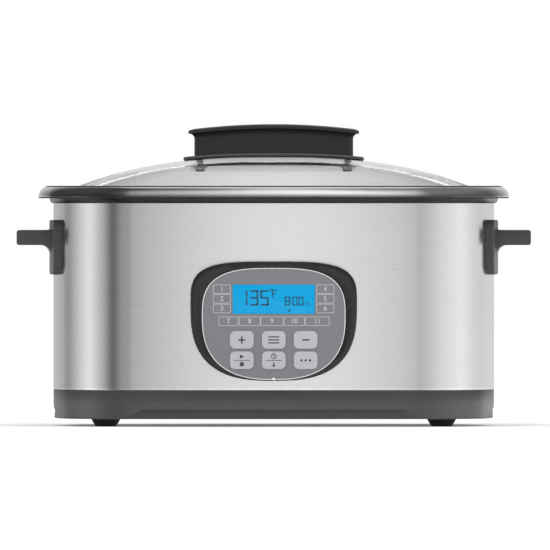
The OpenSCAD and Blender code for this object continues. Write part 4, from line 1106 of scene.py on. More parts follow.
@dataclass
class Pot:
    """The lift-out pot: a dark coated bowl with a rolled gunmetal rim."""

    wall: float = 2.0
    out_d: float = -22.0
    floor_z: float = 56.4
    floor_r: float = 24.0
    overhang: float = 12.0
    rim_r: float = 9.0
    rim_top: float = 192.0
    lip_z: float = 182.0
    ledge_z: float = 186.6
    step_d: float = -15.0

    def section(self) -> list[Flat]:
        """Return the section from the middle of the outside, over the rim, to the middle of the inside."""
        wall, out, step, ledge, top, lip = (self.wall, self.out_d, self.step_d, self.ledge_z, self.rim_top,
                                            self.lip_z)
        inner, out_r, edge = out - wall, self.floor_r + wall, self.overhang
        roll = (edge - self.rim_r, top - self.rim_r)
        section = arc((out - out_r, self.floor_z + out_r), out_r, -90, 0, 12)
        section += [(out, ledge - wall - 1.2), (out + 0.4, ledge - wall - 0.3), (out + 1.2, ledge - wall),
                    (step + wall - 0.5, ledge - wall), (step + wall, ledge - wall + 0.5),
                    (step + wall, top - wall)]
        section += arc(roll, self.rim_r - wall, 90, 0, 12)
        section += [(edge - wall, lip + 0.4), (edge - wall + 0.4, lip), (edge - 0.6, lip), (edge, lip + 0.6)]
        section += arc(roll, self.rim_r, 0, 90, 16)
        section += [(step + 1.6, top), (step + 0.7, top - 0.2), (step + 0.2, top - 0.7), (step, top - 1.6),
                    (step, ledge + 0.6), (step - 0.6, ledge), (inner + 1.2, ledge),
                    (inner + 0.4, ledge - 0.3), (inner, ledge - 1.2)]
        bottom = (inner - self.floor_r, self.floor_z + wall + self.floor_r)
        return section + arc(bottom, self.floor_r, 0, -90, 12)

    def build(self) -> None:
        """Make the pot, its rim in metal and the rest coated."""
        piece = PLAN.swept(self.section(), Ends.FLAT).made("cooking_pot")
        edge = np.array(PLAN.outline(self.step_d - 0.5))
        reach = np.linalg.norm(edge, axis=1)
        angles = np.arctan2(edge[:, 1], edge[:, 0])
        order = np.argsort(angles)

        def rim(middle: Vector) -> int:
            """Return the rim's finish on the roll between lip and crest, and the coat's elsewhere."""
            turn = math.atan2(middle.y, middle.x)
            step = np.interp(turn, angles[order], reach[order], period=2 * math.pi)
            outside = math.hypot(middle.x, middle.y) > step
            return 0 if outside and self.lip_z + 1.4 < middle.z < self.rim_top - 1.1 else 1

        Workshop.dressed(piece, "pot", "pot_coat", [GUNMETAL, POT_COAT], ["inner_pot"], rim)


# Body

@dataclass
class Body:
    """Brushed steel shell, the neck ring over it and the liner inside."""

    base_top: float = 29.0
    steel_top: float = 178.0
    shell_top: float = 182.7
    sheet: float = 0.8
    hem: float = 0.35
    land_z: float = 190.0
    shelf_z: float = 181.2
    panel_z: float = 96.6
    inlet_z: float = 52.0
    inlet: Flat = (28.4, 20.9)

    def shell(self, window: Sequence[Flat]) -> None:
        """Make the steel with its tucked foot, the panel's window and the inlet's hole."""
        low, tuck, levels = self.base_top + 0.05, 1.2, (60.0, 120.0, self.shell_top)
        section = [(0.0, z) for z in levels[::-1]] + [(0.0, low + 2.6)]
        section += [(self.hem * (math.cos(t) - 1), low + tuck * (1 - math.sin(t))) for t in quarter(6)]
        section += [(-self.sheet, z) for z in (low, *levels)]
        piece = PLAN.swept(section).made("steel_shell")
        for outline, facing, z in ((window, FACING_FRONT, self.panel_z),
                                   (rounded(*self.inlet, 1.0), FACING_BACK, self.inlet_z)):
            hole = Shape.prism(outline, PLAN.half_d - 6, PLAN.half_d + 5).turned(facing)
            Workshop.combined(piece, hole.moved(0, 0, z))
        Workshop.dressed(piece, "housing", "brushed_shell", [STEEL], ["outer_shell"])

    def neck(self) -> None:
        """Make the ring between the steel and the pot's rim, with its hollow flare."""
        play, overhang, rise, leg, shelf = 0.25, 3.2, 4.0, -2.8, -12.0
        inner, groove = -self.sheet - play, self.shell_top + play
        land, seat = self.land_z, self.shelf_z
        section = [(play + (overhang - play) * math.sin(t), self.steel_top + rise * (1 - math.cos(t)))
                   for t in quarter(12)]
        section += [(overhang, land - 1), (overhang - 0.3, land - 0.3), (overhang - 1, land), (leg, land),
                    (leg, seat), (shelf, seat), (shelf, seat - 2), (inner, seat - 2), (inner, groove),
                    (play, groove)]
        piece = PLAN.swept(section).made("neck_ring")
        # The neck's dark colour is painted shade from the pot's rim above it
        Workshop.dressed(piece, "housing", "neck_ring", [NECK_SHADED_METAL], ["top_ring"])

    def liner(self) -> None:
        """Make the pressed sheet well with its rounded floor edge and flange."""
        out, sheet, floor, bend, flange, middle = -18.7, 0.8, 38.2, 6.0, -3.05, 110.0
        seat, inner, lead_r, lead_at = self.shelf_z, out - sheet, 4.5, (65.0, 12.0)
        section = arc((out - bend, floor + bend), bend, -90, 0, 8)
        section += [(out, middle), (out, seat - 1.5), (out + 0.4, seat - 0.4), (out + 1.5, seat),
                    (flange, seat), (flange, seat + sheet), (out + 0.9, seat + sheet),
                    (out - 0.2, seat + sheet - 0.4), (inner, seat - 1.0), (inner, middle)]
        section += arc((out - bend, floor + bend), bend - sheet, 0, -90, 8)
        piece = PLAN.swept(section, Ends.FLAT).made("liner_well")
        hole = Shape.spun([(lead_r, floor - 5), (lead_r, floor + 6)], 32)
        Workshop.combined(piece, Shape.joined(hole.moved(lead_at[0], y * lead_at[1], 0) for y in (-1, 1)))
        Workshop.dressed(piece, "housing", "liner_sheet", [LINER_SHEET], ["inner_liner"])

    def build(self, window: Sequence[Flat]) -> None:
        """Make all pieces of the body, with the panel's window in the steel."""
        self.shell(window)
        self.neck()
        self.liner()


# Base

@dataclass
class Base:
    """Plastic base with its recesses, the bottom cover and the rubber feet."""

    base_z: float = 6.0
    base_top: float = 29.0
    cover_top: float = 8.0
    recess_depth: float = 1.2
    recess_z: tuple[float, float] = (7.4, 13.4)
    recess_l: float = 208.8
    end_recess_l: float = 84.0
    slant: float = 10.0
    lean: float = 0.4
    foot_at: Flat = (134.0, 84.0)

    def recess(self, length: float) -> Shape:
        """Return the slant-ended bar that a recess is cut with, along the front and the back."""
        low, high = self.recess_z
        outline = [(-length / 2 - self.slant, low), (length / 2 + self.slant, low), (length / 2, high),
                   (-length / 2, high)]
        return Shape.prism(outline, -220, 220).turned(FACING_FRONT)

    def housing(self) -> None:
        """Make the base's wall with its heel, seam, tongue and recesses."""
        heel, top, seam, wall, tongue, ledge = 1.6, self.base_top, -1.05, -3.0, 36.0, 10.5
        section = [(-heel + heel * math.sin(t) - self.lean, self.base_z + heel * (1 - math.cos(t)))
                   for t in quarter(5)]
        section += [(-self.lean, 13.6), (0.0, 17.6), (0.0, top - 0.5), (-0.12, top - 0.15), (-0.4, top),
                    (seam, top), (seam, tongue - 0.4), (-1.4, tongue), (wall, tongue), (wall, ledge),
                    (-10.0, ledge), (-10.0, self.cover_top), (-2.6, self.cover_top), (-2.6, self.base_z)]
        piece = PLAN.swept(section).made("base_skirt")
        (low, high), deep = self.recess_z, -self.recess_depth
        cut = PLAN.swept([(5.0, low - 2), (5.0, high + 2), (deep, high + 2), (deep, high), (-0.7, low),
                          (-0.7, low - 2)]).made("cut")
        bars = self.recess(self.recess_l) + self.recess(self.end_recess_l).turned(
            Matrix.Rotation(math.radians(90), 4, "Z"))
        Workshop.combined(cut, bars, "INTERSECT")
        Workshop.combined(piece, cut)
        Workshop.eased(piece, 0.35, 2, 30)
        Workshop.dressed(piece, "housing", "base_plastic", [BASE_PLASTIC], ["base_housing"])

    def cover(self) -> None:
        """Make the bottom cover from its node, with eased edges."""
        piece = Workshop.copied("bottom_cover", "under_cover")
        Workshop.eased(piece, 0.3)
        Workshop.dressed(piece, "housing", "base_plastic", [COVER_PLASTIC], ["bottom_cover"])

    def feet(self) -> None:
        """Make the four rubber feet with their stems."""
        section = [(0.0, 0.0), (7.6, 0.0), (8.2, 0.15), (8.6, 0.6), (11.2, 5.2), (11.5, 5.7), (11.3, 6.0),
                   (3.5, 6.0), (3.5, 8.1), (5.0, 8.1), (4.9, 8.8), (3.6, 11.1), (3.2, 11.4), (0.0, 11.4)]
        piece = REPEATER.spread("rubber_feet", Shape.spun(section, 48), four(self.foot_at, 0.0), RUBBER)
        Workshop.dressed(piece, "housing", "foot_rubber", [RUBBER], [
            "foot_front_left", "foot_front_right", "foot_rear_left", "foot_rear_right"])

    def build(self) -> None:
        """Make all pieces of the base."""
        self.housing()
        self.cover()
        self.feet()


# Side handles

@dataclass
class SideHandles:
    """The two moulded handles: a plate on each end of the steel and a grip."""

    face_x: float = 179.7
    face_r: float = 590.0
    half_y: float = 67.0
    plate_z: tuple[float, float] = (121.0, 164.6)
    shoulder: float = 5.0
    heel: float = 10.0
    grip_y: float = 52.0
    grip_z: tuple[float, float] = (144.6, 156.6)
    tip_x: float = 205.6
    nose: float = 2.0
    fillet: float = 7.5
    edge: float = 1.3

    def face(self, y: float) -> float:
        """Return where the plate's outer face lies at y."""
        return self.face_x - self.face_r + math.sqrt(self.face_r ** 2 - y * y)

    def plate(self) -> Shape:
        """Return the plate: a bowed slab with rounded corners and edges."""
        low, high = self.plate_z
        ways = list(np.linspace(0, self.half_y - self.heel, 12))
        ways += [self.half_y - self.heel + self.heel * math.sin(t) for t in np.radians(range(10, 81, 10))]
        ways = sorted(w for w in ways if w < self.half_y - self.edge)
        half = [(w, 0.0) for w in ways]
        half += [(self.half_y - self.edge * (1 - math.sin(t)), self.edge * (1 - math.cos(t)))
                 for t in quarter(4)]
        rings = []
        for y, tuck in [(-w, e) for w, e in half[:0:-1]] + half:
            out_heel = max(abs(y) - self.half_y + self.heel, 0.0)
            out_shoulder = max(abs(y) - self.half_y + self.shoulder, 0.0)
            z0 = low + tuck + self.heel - math.sqrt(max(self.heel ** 2 - out_heel ** 2, 0.0))
            z1 = high - tuck - self.shoulder + math.sqrt(max(self.shoulder ** 2 - out_shoulder ** 2, 0.0))
            inner, outer, r = PLAN.end_x(y) + 0.05, self.face(y) - tuck, self.edge
            loop = arc((outer - r, z0 + r), r, -90, 0, 5) + arc((outer - r, z1 - r), r, 0, 90, 5)
            rings.append([(x, y, z) for x, z in [(inner, z0), *loop, (inner, z1)]])
        return Shape.loft(rings)

    def grip(self) -> Shape:
        """Return the grip: a bar with a rounded tip and a fillet on the plate."""
        (low, high), n, fillet = self.grip_z, self.nose, self.fillet
        root, upper, sunk, soft, straight = self.face_x, 1.6, self.face_x - 2.8, 1.6, self.tip_x - 2
        profile = [(sunk, low - fillet)] + arc((root + fillet, low - fillet), fillet, 180, 90, 10)
        profile += arc((self.tip_x - n, low + n), n, -90, 0, 6)
        profile += arc((self.tip_x - n, high - n), n, 0, 90, 6)
        profile += arc((root + upper, high + upper), upper, 270, 180, 5) + [(sunk, high + upper)]
        half = [(0.0, 0.0), (20.0, 0.0), (40.0, 0.0)]
        half += [(self.grip_y - soft * (1 - math.sin(t)), soft * (1 - math.cos(t))) for t in quarter(5)]
        rings = []
        for y, tuck in [(-w, e) for w, e in half[:0:-1]] + half:
            back = self.face(y) - root
            rings.append([(x + back * min(max((straight - x) / (straight - root), 0), 1), y, z)
                          for x, z in grown(profile, -tuck)])
        return Shape.loft(rings)

    def build(self) -> None:
        """Make the right handle and its mirror image."""
        for side, name, node in ((1, "right_grip", "right_handle"), (-1, "left_grip", "left_handle")):
            mirror = Matrix.Diagonal((side, 1, 1, 1))
            piece = self.plate().turned(mirror).made(name)
            Workshop.combined(piece, self.grip().turned(mirror), "UNION")
            Workshop.dressed(piece, "housing", "handle_plastic", [SIDE_PLASTIC], [node])


# Control panel

INK_T = 0.05


def printed(outline: Sequence[Flat]) -> Shape:
    """Return a thin printed patch on the panel, facing the front."""
    return Shape.prism(outline, 0, INK_T).turned(FACING_FRONT)


def line(start: Flat, stop: Flat, width: float) -> Shape:
    """Return a thin printed stroke on the panel, from start to stop, facing the front."""
    way = Vector(stop) - Vector(start)
    reach, side = way.normalized() * width / 4, Vector((-way.y, way.x)).normalized() * width / 2
    first, last = Vector(start) - reach, Vector(stop) + reach
    return printed([tuple(c) for c in (first - side, last - side, last + side, first + side)])


def dot(centre: Flat, radius: float, steps: int = 24) -> Shape:
    """Return a thin printed dot on the panel, facing the front."""
    return printed(arc(centre, radius, 0, 360 - 360 / steps, steps - 1))


def printed_ring(centre: Flat, radius: float, width: float) -> Shape:
    """Return a thin printed ring on the panel, facing the front."""
    inner, outer = radius - width / 2, radius + width / 2
    ring = Shape.spun([(inner, 0), (outer, 0), (outer, INK_T), (inner, INK_T)], 28, Ends.LOOP)
    return ring.moved(centre[0], centre[1], 0).turned(FACING_FRONT)


def number(text: str, centre: Flat, height: float) -> Shape:
    """Return a printed plain number on the panel, facing the front, from the built-in letter shapes."""
    curve = bpy.data.curves.new("number", "FONT")
    curve.body = text
    curve.size = height
    curve.extrude = INK_T / 2
    curve.offset = 0.012 * height
    curve.align_x, curve.align_y = "CENTER", "CENTER"
    writer = bpy.data.objects.new("number", curve)
    bpy.context.scene.collection.objects.link(writer)
    mesh = bpy.data.meshes.new_from_object(writer.evaluated_get(bpy.context.evaluated_depsgraph_get()))
    shape = Shape([tuple(v.co) for v in mesh.vertices], [tuple(f.vertices) for f in mesh.polygons])
    bpy.data.objects.remove(writer)
    bpy.data.curves.remove(curve)
    bpy.data.meshes.remove(mesh)
    return shape.moved(centre[0], centre[1], INK_T / 2).turned(FACING_FRONT)


class Digit(Enum):
    """Lit bars of a seven bar digit, by letters from the top, clockwise, and g for the middle."""

    ZERO = "abcdef"
    ONE = "bc"
    THREE = "abcdg"
    FIVE = "acdfg"
    EIGHT = "abcdefg"


@dataclass
class Panel:
    """Control panel: frame, fascia, bright line, display, labels, keys and status light."""

    panel_z: float = 96.6
    front_y: float = -131.0
    fascia_y: float = -130.7
    fascia_back: float = -128.5
    glass_y: float = -130.6
    waist_drop: float = 8.8
    trim_w: float = 0.8
    frame_r: float = 2.6
    lcd: Flat = (65.7, 23.5)
    lcd_z: float = 5.0
    key: Flat = (19.0, 14.3)
    key_r: float = 4.0
    key_x: float = 25.4
    key_rows: Flat = (-27.3, -43.6)
    key_front: float = -131.5
    light_z: float = -58.5
    light_d: float = 2.4

    def fascia_outline(self) -> list[Flat]:
        """Return the fascia's outline about the panel's widest line."""
        return [(x, z - self.waist_drop) for x, z in shield(56.4, 38.0, 49.6, 3.05, 2.55)]

    def window(self) -> list[Flat]:
        """Return the hole in the steel behind the frame."""
        return grown(self.fascia_outline(), 0.6)

    def placed(self, shape: Shape, y: float) -> Shape:
        """Return a shape that was drawn about the panel's middle, moved to its depth and height."""
        return shape.moved(0, y, self.panel_z)

    def light_hole(self) -> Shape:
        """Return the bore of the status light."""
        hole = Shape.prism(arc((0, 0), self.light_d / 2 + 0.06, 0, 345, 23), 120, 140).turned(FACING_FRONT)
        return hole.moved(0, 0, self.panel_z + self.light_z)

    def frame(self) -> None:
        """Make the frame, rounded towards the steel and the fascia."""
        outer = shield(66.4, 35.0, 60.0, 3.7, 2.75)
        inner = grown(self.fascia_outline(), self.trim_w + 0.2)
        opening = grown(self.fascia_outline(), -1.6)
        sleeve, sleeve_end = grown(opening, 2.0), -121.0
        gap = np.linalg.norm(np.array(outer) - np.array(inner), axis=1)
        radius, soft = np.minimum(self.frame_r, 0.5 * gap), np.minimum(0.5, 0.25 * gap)
        inward = (np.array(inner) - np.array(outer)) / gap[:, None]
        rings = [[(x, -PLAN.back_y(x) - 0.05, z) for x, z in outer]]
        for t in quarter(8):
            flat = np.array(outer) + inward * (radius * (1 - math.cos(t)))[:, None]
            rings.append([(x, self.front_y + r * (1 - math.sin(t)), z) for (x, z), r in zip(flat, radius)])
        for share, deep in ((1.0, 0.0), (0.3, 0.3), (0.0, 1.0)):
            flat = np.array(inner) - inward * (soft * share)[:, None]
            rings.append([(x, self.front_y + r * deep, z) for (x, z), r in zip(flat, soft)])
        for outline, y in ((inner, self.fascia_back), (opening, self.fascia_back), (opening, sleeve_end),
                           (sleeve, sleeve_end)):
            rings.append([(x, y, z) for x, z in outline])
        rings.append([(x, -PLAN.back_y(x) - 0.05, z) for x, z in sleeve])
        piece = Shape.loft(rings, Ends.LOOP).moved(0, 0, self.panel_z).made("panel_bezel")
        Workshop.combined(piece, self.light_hole())
        Workshop.dressed(piece, "housing", "frame_plastic", [FRAME_PLASTIC], ["panel_frame"])

    def fascia(self) -> None:
        """Make the fascia with its openings and posts, and the bright line round it."""
        plate = Shape.block(self.fascia_outline(), -self.fascia_back, -self.fascia_y, 0.12, 2)
        piece = self.placed(plate.turned(FACING_FRONT), 0).made("fascia_plate")
        holes = Shape.prism([(x, z + self.lcd_z) for x, z in rounded(*self.lcd, 0.5, 4)], 125, 140)
        play = 0.4
        for x in (-1, 0, 1):
            for row in self.key_rows:
                outline = rounded(self.key[0] + play, self.key[1] + play, self.key_r + play / 2, 10)
                holes += Shape.prism([(u + x * self.key_x, v + row) for u, v in outline], 125, 140)
        Workshop.combined(piece, self.placed(holes.turned(FACING_FRONT), 0))
        Workshop.combined(piece, self.light_hole())
        bore, post_r, end, root = 1.16, 2.8, 123.35, 129.0
        tube = Shape.spun([(bore, end), (post_r - 0.2, end), (post_r, end + 0.2), (post_r, root),
                           (bore, root)], 28, Ends.LOOP)
        posts = Shape.joined(tube.moved(x, z, 0) for x in (-45, 45) for z in (9, -20))
        Workshop.combined(piece, self.placed(posts.turned(FACING_FRONT), 0), "UNION")
        Workshop.dressed(piece, "housing", "fascia_film", [FASCIA_FILM], ["fascia"])
        front = self.front_y + 0.02
        steps = ((0.04, self.fascia_back), (0.04, front + 0.18), (0.2, front), (0.6, front),
                 (0.76, front + 0.18), (0.76, self.fascia_back))
        rings = [[(x, y, z) for x, z in grown(self.fascia_outline(), o)] for o, y in steps]
        trim = Shape.loft(rings, Ends.LOOP).moved(0, 0, self.panel_z).made("bright_line")
        Workshop.combined(trim, self.light_hole())
        Workshop.dressed(trim, "housing", "trim_line", [TRIM_WHITE], ["fascia_trim"])

    def display(self) -> None:
        """Make the lit window and the signs on it."""
        outline = [(x, z + self.lcd_z) for x, z in rounded(self.lcd[0] - 0.3, self.lcd[1] - 0.3, 0.5, 4)]
        glass = Shape.block(outline, -self.fascia_back, -self.glass_y, 0.12, 2).turned(FACING_FRONT)
        piece = self.placed(glass, 0).made("display_pane")
        Workshop.dressed(piece, "housing", "display_glass", [DISPLAY], ["display_window"])
        bars: list[Place] = []
        for left, low, wide, tall, stroke, digit in (
                (-27.0, -0.1, 6.2, 12.4, 1.5, Digit.ONE), (-18.9, -0.1, 6.7, 12.4, 1.5, Digit.THREE),
                (-10.8, -0.1, 7.0, 12.4, 1.5, Digit.FIVE), (8.7, 0.0, 4.3, 7.2, 0.95, Digit.EIGHT),
                (14.9, 0.0, 4.1, 7.2, 0.95, Digit.ZERO), (19.7, 0.0, 4.1, 7.2, 0.95, Digit.ZERO)):
            bars += self.digit_bars(left, low, wide, tall, stroke, digit)
        bar = [(-0.5, 0.0), (-0.42, -0.5), (0.42, -0.5), (0.5, 0.0), (0.42, 0.5), (-0.42, 0.5)]
        digits = REPEATER.spread("display_digits", printed(bar), bars, SEGMENT_INK)
        Workshop.dressed(digits, "housing", "display_glass", [SEGMENT_INK])
        marks = printed_ring((-2.2, 12.7), 0.75, 0.5) + line((-1.0, 6.6), (-1.0, 12.2), 0.9)
        marks += line((-1.0, 12.2), (2.2, 12.2), 0.9) + line((-1.0, 9.5), (1.7, 9.5), 0.9)
        marks += printed_ring((26.6, 1.3), 1.1, 0.45) + line((26.6, 1.3), (26.6, 2.1), 0.3)
        marks += printed([(11.3, -3.1), (12.5, -5.6), (13.7, -3.1)])
        for z in (2.2, 4.9):
            marks += dot((14.0, z), 0.42, 12)
        sign = self.placed(marks, self.glass_y).made("display_marks")
        Workshop.dressed(sign, "housing", "display_glass", [SEGMENT_INK])

    def digit_bars(self, left: float, low: float, wide: float, tall: float, stroke: float,
                   digit: Digit) -> list[Place]:
        """Return the places of one digit's lit bars.

        Args:
            left: The digit's left side from the panel's middle.
            low: Its lower side over the panel's widest line.
            wide: Its width.
            tall: Its height.
            stroke: The width of a bar.
            digit: Which bars are lit.

        Returns:
            One place for each bar.
        """
        right, half, s = left + wide, tall / 2, stroke / 2
        spots = {"a": (left + wide / 2, low + tall - s, 0), "b": (right - s, low + 1.5 * half, 1),
                 "c": (right - s, low + 0.5 * half, 1), "d": (left + wide / 2, low + s, 0),
                 "e": (left + s, low + 0.5 * half, 1), "f": (left + s, low + 1.5 * half, 1),
                 "g": (left + wide / 2, low + half, 0)}
        places = []
        for bar in digit.value:
            x, z, upright = spots[bar]
            reach = (half if upright else wide) - 0.25 * stroke
            places.append(Place((x, self.glass_y, self.panel_z + z), (0.0, upright * math.pi / 2, 0.0),
                                (reach, 1.0, stroke)))
        return places

    def labels(self) -> None:
        """Draw the programme frames and a plain number in each."""
        tall, top, pitch, foot = 6.8, 13.1, 7.7, -12.4
        columns = ((-41.3, 13.7), (41.0, 13.8))
        row = ((-36.1, 15.4), (-19.2, 16.8), (-1.4, 17.7), (16.4, 16.4), (34.7, 19.0))
        frames = [(x, top - step * pitch, w) for x, w in columns for step in range(3)]
        frames += [(x, foot, w) for x, w in row]
        places = [Place((x, z, 0.0), stretch=(w * MM, tall * MM, 1.0)) for x, z, w in frames]
        drawn = LINES.run("label_frames", places, {
            "Corner": 0.8 * MM, "Line": 0.42 * MM, "Height": 0.06 * MM, "Material": LABEL_INK.material()})
        at = Matrix.Translation((0, self.fascia_y * MM, self.panel_z * MM)) @ FACING_FRONT
        drawn.data.transform(at)
        Workshop.dressed(drawn, "housing", "trim_line", [LABEL_INK])
        figures = Shape.joined(number(str(count), (x, z), 5.4)
                               for count, (x, z, _) in enumerate(frames, start=1))
        numbers = self.placed(figures, self.fascia_y).made("label_numbers")
        Workshop.dressed(numbers, "housing", "trim_line", [LABEL_INK])

    def signs(self) -> dict[str, Shape]:
        """Return the printed sign of each key, about the key's middle."""
        plus = line((-2.6, 0), (2.6, 0), 1.15) + line((0, -2.6), (0, 2.6), 1.15)
        menu = Shape.joined(line((-4.2, z), (4.2, z), 0.95) for z in (-2.4, 0, 2.4))
        divider = line((-6.2, 0), (6.2, 0), 0.5)
        start = divider + printed([(-1.5, 1.3), (1.9, 3.0), (-1.5, 4.7)]) + printed(
            [(-1.6, -4.6), (1.6, -4.6), (1.6, -1.4), (-1.6, -1.4)])
        timer = divider + printed_ring((0, 3.3), 1.9, 0.65) + line((0, 3.3), (0, 4.5), 0.5)
        timer += line((0, 3.3), (1.0, 3.3), 0.5) + dot((0, -4.3), 0.95)
        timer += line((0, -4.0), (0, -1.4), 0.75)
        preset = Shape.joined(dot((x, 0), 0.95) for x in (-3.4, 0, 3.4))
        return {"key_plus": plus, "key_menu": menu, "key_minus": line((-2.6, 0), (2.6, 0), 1.2),
                "key_start": start, "key_timer": timer, "key_preset": preset}

    def keys(self) -> None:
        """Make the six keys with their signs, each on its own body."""
        flange_y, back_y, stem_y, soft, dish = -128.4, -127.4, -126.5, 0.8, 0.12
        (wide, tall), corner = self.key, self.key_r
        stem, flange = (4.0, 4.0, 1.99), (wide + 1.4, tall + 1.0, corner + 0.5)
        levels = [(*stem, stem_y), (*stem, back_y), (*flange, back_y), (*flange, flange_y),
                  (wide, tall, corner, flange_y)]
        for t in quarter(5):
            tuck, rise = soft * (1 - math.cos(t)), (soft - dish) * (1 - math.sin(t))
            levels.append((wide - 2 * tuck, tall - 2 * tuck, corner - tuck, self.key_front + dish + rise))
        levels.append((wide - 7, tall - 6, corner - 2, self.key_front))
        for index, (name, sign) in enumerate(self.signs().items()):
            x, z = (index % 3 - 1) * self.key_x, self.panel_z + self.key_rows[index // 3]
            rings = [[(u + x, y, v + z) for u, v in rounded(w, h, r, 10)] for w, h, r, y in levels]
            piece = Shape.loft(rings).made(name + "_cap")
            Workshop.dressed(piece, name, "key_plastic", [KEY_PLASTIC], [name])
            mark = sign.moved(x, self.key_front + 0.02, z).made(name + "_sign")
            Workshop.dressed(mark, name, "key_plastic", [SIGN_INK])

    def light(self) -> None:
        """Make the status light's lens with its domed front."""
        r = self.light_d / 2
        section = [(0.0, 127.5), (r, 127.5), (r, 130.8), (r * 0.92, 131.0), (r * 0.6, 131.15), (0.0, 131.2)]
        lens = Shape.spun(section, 32).turned(FACING_FRONT)
        piece = lens.moved(0, 0, self.panel_z + self.light_z).made("status_lens")
        Workshop.dressed(piece, "housing", "trim_line", [LIGHT_LENS], ["status_light"])

    def build(self) -> None:
        """Make all pieces of the panel."""
        self.frame()
        self.fascia()
        self.display()
        self.labels()
        self.keys()
        self.light()


# Heater, power parts and fasteners

@dataclass
class Heater:
    """Cast heating plate on its legs and the sprung sensor in its middle."""

    plate: Flat = (190.0, 120.0)
    corner: float = 34.0
    plate_z: tuple[float, float] = (47.4, 56.4)
    liner_top: float = 39.0
    leg_at: Flat = (73.0, 46.0)
    guide_room_d: float = 24.0
    sensor_d: float = 18.0

    def build(self) -> None:
        """Make the plate and the sensor's cap, and dress the nodes that stay."""
        low, high = self.plate_z
        outline = rounded(*self.plate, self.corner, 16, 6)
        piece = Shape.block(outline, low, high, 1.4, 4).made("heater_casting")
        leg, room = Shape.spun([(6.0, self.liner_top), (6.0, low + 2)], 36), self.guide_room_d / 2
        legs = Shape.joined(leg.moved(*place.at) for place in four(self.leg_at, 0))
        Workshop.combined(piece, legs, "UNION")
        Workshop.combined(piece, Shape.spun([(room, 30), (room, 70)], 56))
        Workshop.eased(piece, 0.5, 2, 50)
        Workshop.dressed(piece, "housing", "cast_heater", [CAST_METAL], ["heating_plate"])
        r, top, foot = self.sensor_d / 2, high - 0.3, 42.0
        section = [(0.0, top), (r - 1.4, top), (r - 0.4, top - 0.3), (r, top - 1.2), (r, foot + 0.2),
                   (r - 0.2, foot), (r - 1.5, foot), (r - 1.5, top - 2), (0.0, top - 2)]
        cap = Shape.spun(section, 56).made("sensor_disc")
        Workshop.dressed(cap, "sensor", "sensor_metal", [SENSOR_METAL], ["sensor_cap"])
        for finish, node in ((TUBE_METAL, "heating_element"), (HEAT_PLASTIC, "sensor_guide"),
                             (BRASS, "thermal_cutout"), (PLATED, "sensor_spring")):
            Workshop.node_finish(finish, node)


@dataclass
class PowerParts:
    """Boards, their parts, the leads and the inlet."""

    ease: float = 0.35

    def build(self) -> None:
        """Make eased copies of the moulded parts and dress the nodes that stay."""
        for node, name, slot, finish in (
                ("relay", "relay_box", "relay_plastic", RELAY_PLASTIC),
                ("transformer", "transformer_block", "coil_tape", COIL_TAPE),
                ("terminal_block", "terminal_strip", "terminal_plastic", TERMINAL_PLASTIC),
                ("display_module", "display_housing", "module_plastic", MODULE_PLASTIC),
                ("key_switches", "switch_row", "component_plastic", SWITCH_PLASTIC),
                ("power_inlet", "inlet_socket", "component_plastic", INLET_PLASTIC),
                ("inlet_pins", "inlet_contacts", "contact_brass", BRASS)):
            piece = Workshop.copied(node, name)
            Workshop.eased(piece, self.ease)
            Workshop.dressed(piece, "housing", slot, [finish], [node])
        for finish, node in ((BOARD, "control_board"), (BOARD, "power_board"), (MAINS_SLEEVE, "mains_leads"),
                             (HEATER_SLEEVE, "heater_leads"), (RIBBON_SLEEVE, "control_ribbon")):
            Workshop.node_finish(finish, node)


